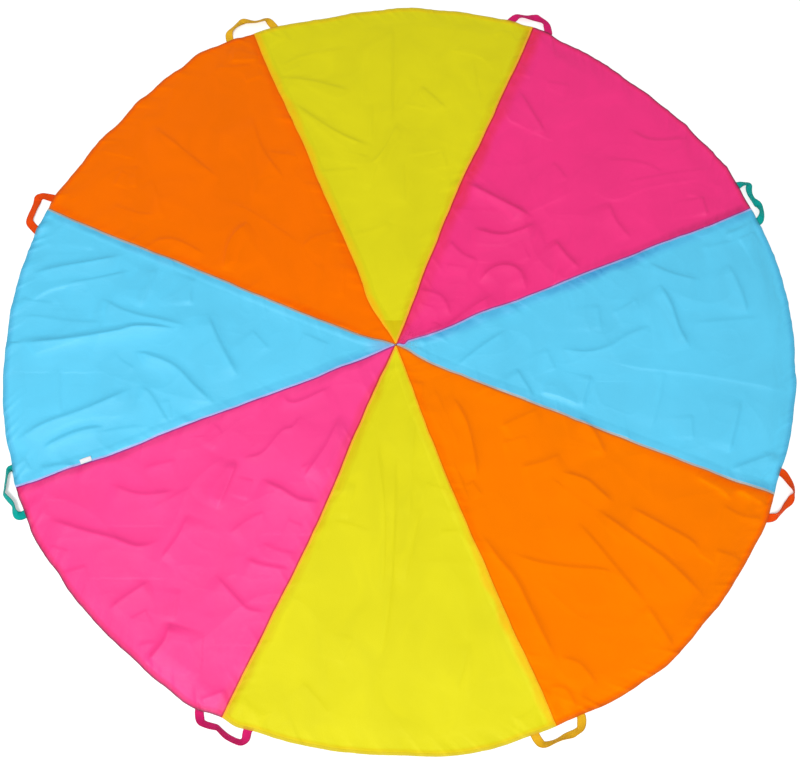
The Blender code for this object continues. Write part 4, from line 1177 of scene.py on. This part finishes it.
class Nodes:
    """A material's node tree with short calls for what is used here."""

    def __init__(self, name):
        self.material = bpy.data.materials.new(name)
        self.material.use_nodes = True
        self.tree = self.material.node_tree
        self.shader = self.tree.nodes["Principled BSDF"]

    def add(self, kind, inputs=None, **settings):
        """A node with its settings, and its inputs set or linked."""
        node = self.tree.nodes.new(kind)
        for key, value in settings.items():
            setattr(node, key, value)
        for key, value in (inputs or {}).items():
            self.put(node, key, value)
        return node

    def put(self, node, key, value):
        """Set an input to a value, or link another node's output to it."""
        if isinstance(value, bpy.types.NodeSocket):
            self.tree.links.new(value, node.inputs[key])
        else:
            node.inputs[key].default_value = value

    def attribute(self, name):
        """A number that the mesh stores at its points."""
        return self.add("ShaderNodeAttribute", attribute_name=name).outputs["Fac"]

    def axes(self):
        """The object coordinates, one by one."""
        place = self.add("ShaderNodeTexCoord").outputs["Object"]
        split = self.add("ShaderNodeSeparateXYZ", {0: place})
        return [split.outputs[axis] for axis in "XYZ"]

    def math(self, operation, a, b=0.0):
        """Two numbers worked together."""
        return self.add("ShaderNodeMath", {0: a, 1: b}, operation=operation).outputs[0]

    def wave(self, value, pitch):
        """An even wave along a value."""
        return self.math("SINE", self.math("MULTIPLY", value, math.tau / pitch))

    def ramp(self, value, low, high, at_low=0.0, at_high=1.0, kind="SMOOTHSTEP"):
        """A value mapped from one range to another, held at both ends."""
        inputs = {"Value": value, "From Min": low, "From Max": high, "To Min": at_low, "To Max": at_high}
        return self.add("ShaderNodeMapRange", inputs, interpolation_type=kind).outputs["Result"]

    def noise(self, scale, detail):
        """Soft noise, in waves a metre."""
        return self.add("ShaderNodeTexNoise", {"Scale": scale, "Detail": detail}).outputs["Fac"]

    def mottle(self, scale, detail, *ranges):
        """Soft noise mapped to a range."""
        return self.ramp(self.noise(scale, detail), *ranges)

    def mix(self, share, a, b, blend="MIX"):
        """Two colours mixed."""
        node = self.add("ShaderNodeMix", data_type="RGBA", blend_type=blend)
        self.put(node, 0, share)
        self.put(node, 6, a)
        self.put(node, 7, b)
        return node.outputs[2]

    def tint(self, colour, tint, value, fade, share=1.0):
        """A colour with a tint over it, full and gone at two values and so strong, times a share."""
        full, gone, strength = fade
        shown = self.ramp(value, full, gone, strength, 0.0)
        if share != 1.0:
            shown = self.math("MULTIPLY", shown, share)
        return self.mix(shown, colour, tint)

    def finish(self, colour, roughness, height, distance, specular):
        """Set the shader and its bump."""
        self.put(self.shader, "Base Color", colour)
        self.put(self.shader, "Roughness", roughness)
        self.put(self.shader, "Specular IOR Level", specular)
        bump = self.add("ShaderNodeBump", {"Height": height, "Distance": distance, "Strength": 1.0})
        self.tree.links.new(bump.outputs["Normal"], self.shader.inputs["Normal"])
        return self.material


def toned(colour, factor, lift=0.0):
    """A colour made darker or lighter."""
    return (*(min(1.0, channel * factor + lift) for channel in colour[:3]), 1.0)


def painted_tip_shade(nodes, name, colour):
    """The cloth's colour, with the painted shade of its gathered tip over it on the gores that have one."""
    if name not in TIP_SHADES:
        return colour
    tip, *fade = TIP_SHADES[name]
    reach = nodes.axes()[1] if name in STRAIGHT_TIPS else nodes.attribute("centre_distance")
    fold_shade_patches = nodes.mottle(*TIP_FOLD_SHADE_PATCHES) if name in CRUMPLED_TIPS else 1.0
    return nodes.tint(colour, tip, reach, fade, fold_shade_patches)


def hem_tone_and_rim_shade(nodes, cloth, colour, patchy, rim_distance):
    """The cloth's colour with the doubled hem's tone and the painted shade of its turned edge over it."""
    colour = nodes.tint(colour, HEM_BANDS[cloth], rim_distance, HEM_BAND_FADE, patchy)
    colour = nodes.tint(colour, RIM_SHADE_COLOURS[cloth], rim_distance, RIM_SHADE_FADE)
    if cloth in RIM_SHADE_LINES:
        colour = nodes.tint(colour, RIM_SHADE_LINES[cloth], rim_distance, RIM_SHADE_LINE_FADE)
    return colour


def cloth_tone(nodes, name, cloth, seam, next_seam):
    """The colour of one gore, with painted light and shade, tinted at its edges, over the straps and at the
    centre.
    """
    toward = nodes.attribute("toward_first_seam")
    away = nodes.math("SUBTRACT", 1.0, toward)
    seam_distance = nodes.attribute("seam_distance")
    rim_distance = nodes.attribute("rim_distance")
    first = SEAM_TINTS_SHADES_AND_HIGHLIGHTS[cloth, GORES[seam][1]]
    second = SEAM_TINTS_SHADES_AND_HIGHLIGHTS[cloth, GORES[(next_seam + 1) % len(GORES)][1]]
    patchy = nodes.mottle(*CLOTH_PATCHES)
    # The base colour carries painted light on the front gores and painted shade on the back ones
    colour = painted_tip_shade(nodes, name, LIT_AND_SHADED_GORE_COLOURS.get(name, CLOTH_COLOURS[cloth]))
    # The band beside the seam: painted shade where the cloth dips to the stitching, and the allowance
    # showing through
    shade = nodes.math("MULTIPLY", nodes.attribute("shade"), patchy)
    colour = nodes.mix(shade, colour, nodes.mix(toward, second[0], first[0]))
    # The doubled hem's tone, and painted shade at the rim's turned edge
    colour = hem_tone_and_rim_shade(nodes, cloth, colour, patchy, rim_distance)
    # Lines along the seams: the painted shadow of the lapped edge on the cloth beneath, and on the cloth on
    # top the neighbour's colour through its fold with a painted highlight
    for (_, line, *fade), side in ((second, away), (first, toward)):
        colour = nodes.tint(colour, line, seam_distance, fade, side)
    straps = [WEBBING_COLOURS[HANDLES[index][1]] for index in (next_seam, seam)]
    through = nodes.math("MULTIPLY", nodes.attribute("strap_near"), STRAP_SHOW)
    colour = nodes.mix(through, colour, nodes.mix(toward, *straps), "MULTIPLY")
    # Painted shadow in the eye at the centre, then painted shade beside the hem's stitching
    colour = nodes.tint(colour, CENTRE_SHADOW_COLOUR, nodes.attribute("centre_distance"), CENTRE_SHADOW_FADE)
    stitched = nodes.math("ABSOLUTE", nodes.math("SUBTRACT", rim_distance, HEM_STITCH_SHADE_INSET))
    return nodes.tint(colour, RIM_SHADE_COLOURS[cloth], stitched, HEM_STITCH_SHADE_FADE)


def cloth_material(name, cloth, seam, next_seam):
    """The cloth of one gore: its tones, a little uneven, and the bump of its plain weave."""
    nodes = Nodes("cloth_" + name)
    colour = cloth_tone(nodes, name, cloth, seam, next_seam)
    light = nodes.mottle(*CLOTH_LIGHT)
    patches = nodes.add("ShaderNodeCombineColor", {0: light, 1: light, 2: light}).outputs[0]
    colour = nodes.mix(1.0, colour, patches, "MULTIPLY")
    x, y, _ = nodes.axes()
    weave = nodes.math("MULTIPLY", nodes.wave(x, WEAVE_PITCH), nodes.wave(y, WEAVE_PITCH))
    crumpled = nodes.math("MULTIPLY", nodes.noise(*CLOTH_CRUMPLES), CLOTH_CRUMPLE_SHARE)
    height = nodes.math("ADD", nodes.math("MULTIPLY", weave, CLOTH_WEAVE_SHARE), crumpled)
    nodes.shader.inputs["Sheen Weight"].default_value = 0.03
    nodes.shader.inputs["Sheen Roughness"].default_value = 0.40
    nodes.shader.inputs["Specular Tint"].default_value = GLOSS_TINTS[cloth]
    return nodes.finish(colour, nodes.mottle(*CLOTH_ROUGHNESS), height, CLOTH_BUMP, GLOSS_LEVELS[cloth])


def webbing_material(name):
    """Woven webbing: a fine herringbone across its width and plain ribs at the edges."""
    nodes = Nodes("webbing_" + name)
    across = nodes.attribute("across")
    zigzag = nodes.math("PINGPONG", across, HERRINGBONE_WIDTH)
    twill = nodes.wave(nodes.math("ADD", nodes.attribute("along"), zigzag), TWILL_PITCH)
    rib = nodes.math("MULTIPLY", nodes.wave(across, RIB_PITCH), RIB_SHARE)
    height = nodes.math("ADD", nodes.math("MULTIPLY", twill, TWILL_SHARE), rib)
    # The weave's colour is painted shade in its hollows and painted highlight on its crests, with lighter
    # patches at random and painted shade along both edges
    dark = toned(WEBBING_COLOURS[name], 0.80)
    highlight_tone = toned(WEBBING_COLOURS[name], 1.15, 0.01)
    edge_shade_tone = toned(WEBBING_COLOURS[name], 0.45)
    woven = nodes.mix(nodes.ramp(height, -0.9, 0.9, 0.0, 1.0, "LINEAR"), dark, highlight_tone)
    tone = nodes.mix(nodes.mottle(*WEBBING_PATCHES), woven, highlight_tone)
    edge = nodes.ramp(nodes.math("ABSOLUTE", across), *EDGE_SHADE_RANGE)
    nodes.shader.inputs["Specular Tint"].default_value = highlight_tone
    tone = nodes.mix(edge, tone, edge_shade_tone)
    return nodes.finish(tone, nodes.mottle(*WEBBING_ROUGHNESS), height, WEBBING_BUMP, 0.35)


def thread_material(cloth):
    """Sewing thread in the gore's colour, with its twist."""
    nodes = Nodes("thread_" + cloth)
    x, y, z = nodes.axes()
    twist = nodes.wave(nodes.math("ADD", nodes.math("ADD", x, y), z), FINE_PITCH)
    # Painted shade and painted highlight along the twist, following its bump
    deep = toned(CLOTH_COLOURS[cloth], 0.60)
    pale = toned(CLOTH_COLOURS[cloth], 0.85, 0.04)
    tone = nodes.mix(nodes.ramp(twist, -1.0, 1.0, 0.0, 1.0, "LINEAR"), deep, pale)
    return nodes.finish(tone, 0.5, twist, THREAD_BUMP, 0.35)


def label_material():
    """Bare white woven tape, faintly ribbed and a little uneven in tone, with painted shadow along its fold
    at the seam.
    """
    nodes = Nodes("label_tape")
    rib = nodes.wave(nodes.attribute("along"), FINE_PITCH)
    tone = nodes.mix(nodes.mottle(*LABEL_PATCHES), LABEL_LOW, LABEL_HIGH)
    tone = nodes.tint(tone, LABEL_FOLD_SHADOW_COLOUR, nodes.attribute("across"), LABEL_FOLD_SHADOW_FADE)
    return nodes.finish(tone, 0.6, rib, LABEL_BUMP, 0.3)


def make_floor():
    """A plain floor that the camera sees as white but for the object's shadow."""
    bpy.ops.mesh.primitive_plane_add(size=FLOOR_SIZE, location=(0.0, 0.0, -FLOOR_DROP))
    floor = bpy.context.object
    floor.name = "floor"
    nodes = Nodes("floor_white")
    nodes.put(nodes.shader, "Base Color", (FLOOR_TONE, FLOOR_TONE, FLOOR_TONE, 1.0))
    nodes.put(nodes.shader, "Roughness", FLOOR_ROUGHNESS)
    nodes.put(nodes.shader, "Specular IOR Level", 0.0)
    path = nodes.add("ShaderNodeLightPath")
    seen = nodes.math("MAXIMUM", path.outputs["Is Camera Ray"], path.outputs["Is Glossy Ray"])
    seen = nodes.math("MAXIMUM", seen, path.outputs["Is Transmission Ray"])
    glow = nodes.add("ShaderNodeEmission", {"Color": WHITE})
    place = nodes.add("ShaderNodeTexCoord").outputs["Object"]
    distance = nodes.add("ShaderNodeVectorMath", {0: place}, operation="LENGTH").outputs["Value"]
    far = nodes.ramp(distance, FLOOR_NEAR, FLOOR_FAR, FLOOR_GLOW, 1.0)
    nodes.put(glow, "Strength", nodes.math("MULTIPLY", seen, far))
    both = nodes.add("ShaderNodeAddShader", {0: nodes.shader.outputs[0], 1: glow.outputs[0]})
    nodes.tree.links.new(both.outputs[0], nodes.tree.nodes["Material Output"].inputs["Surface"])
    floor.data.materials.append(nodes.material)


def make_key():
    """A soft light from the front and left."""
    lamp = bpy.data.lights.new("key", "AREA")
    lamp.shape = "DISK"
    lamp.size = KEY_SIZE
    lamp.energy = KEY_POWER
    key = bpy.data.objects.new("key", lamp)
    key.location = KEY_PLACE
    key.rotation_mode = "QUATERNION"
    key.rotation_quaternion = (-KEY_PLACE).to_track_quat("-Z", "Y")
    bpy.context.scene.collection.objects.link(key)


def make_world():
    """Even light from all round, in front of a backdrop that the camera sees as white."""
    world = bpy.data.worlds.new("world")
    world.use_nodes = True
    bpy.context.scene.world = world
    tree = world.node_tree
    background = tree.nodes["Background"]
    background.inputs["Color"].default_value = WHITE
    path = tree.nodes.new("ShaderNodeLightPath")
    strength = tree.nodes.new("ShaderNodeMapRange")
    tree.links.new(path.outputs["Is Camera Ray"], strength.inputs["Value"])
    strength.inputs["To Min"].default_value = FILL_STRENGTH
    strength.inputs["To Max"].default_value = 1.0
    tree.links.new(strength.outputs["Result"], background.inputs["Strength"])


CREASES = crease_lines()
WEBBINGS = {name: webbing_material(name) for name in WEBBING_COLOURS}
THREADS = {cloth: thread_material(cloth) for cloth in CLOTH_COLOURS}

make_camera()
bpy.context.scene.view_settings.view_transform = "Standard"
for index in range(len(GORES)):
    shape = Gore(index)
    gore = shape.build()
    hem = make_hem_stitches(shape)
for seam in range(len(SEAM_ANGLES)):
    make_seam_stitches(seam)
    make_strap(seam)
make_label()
make_floor()
make_key()
make_world()
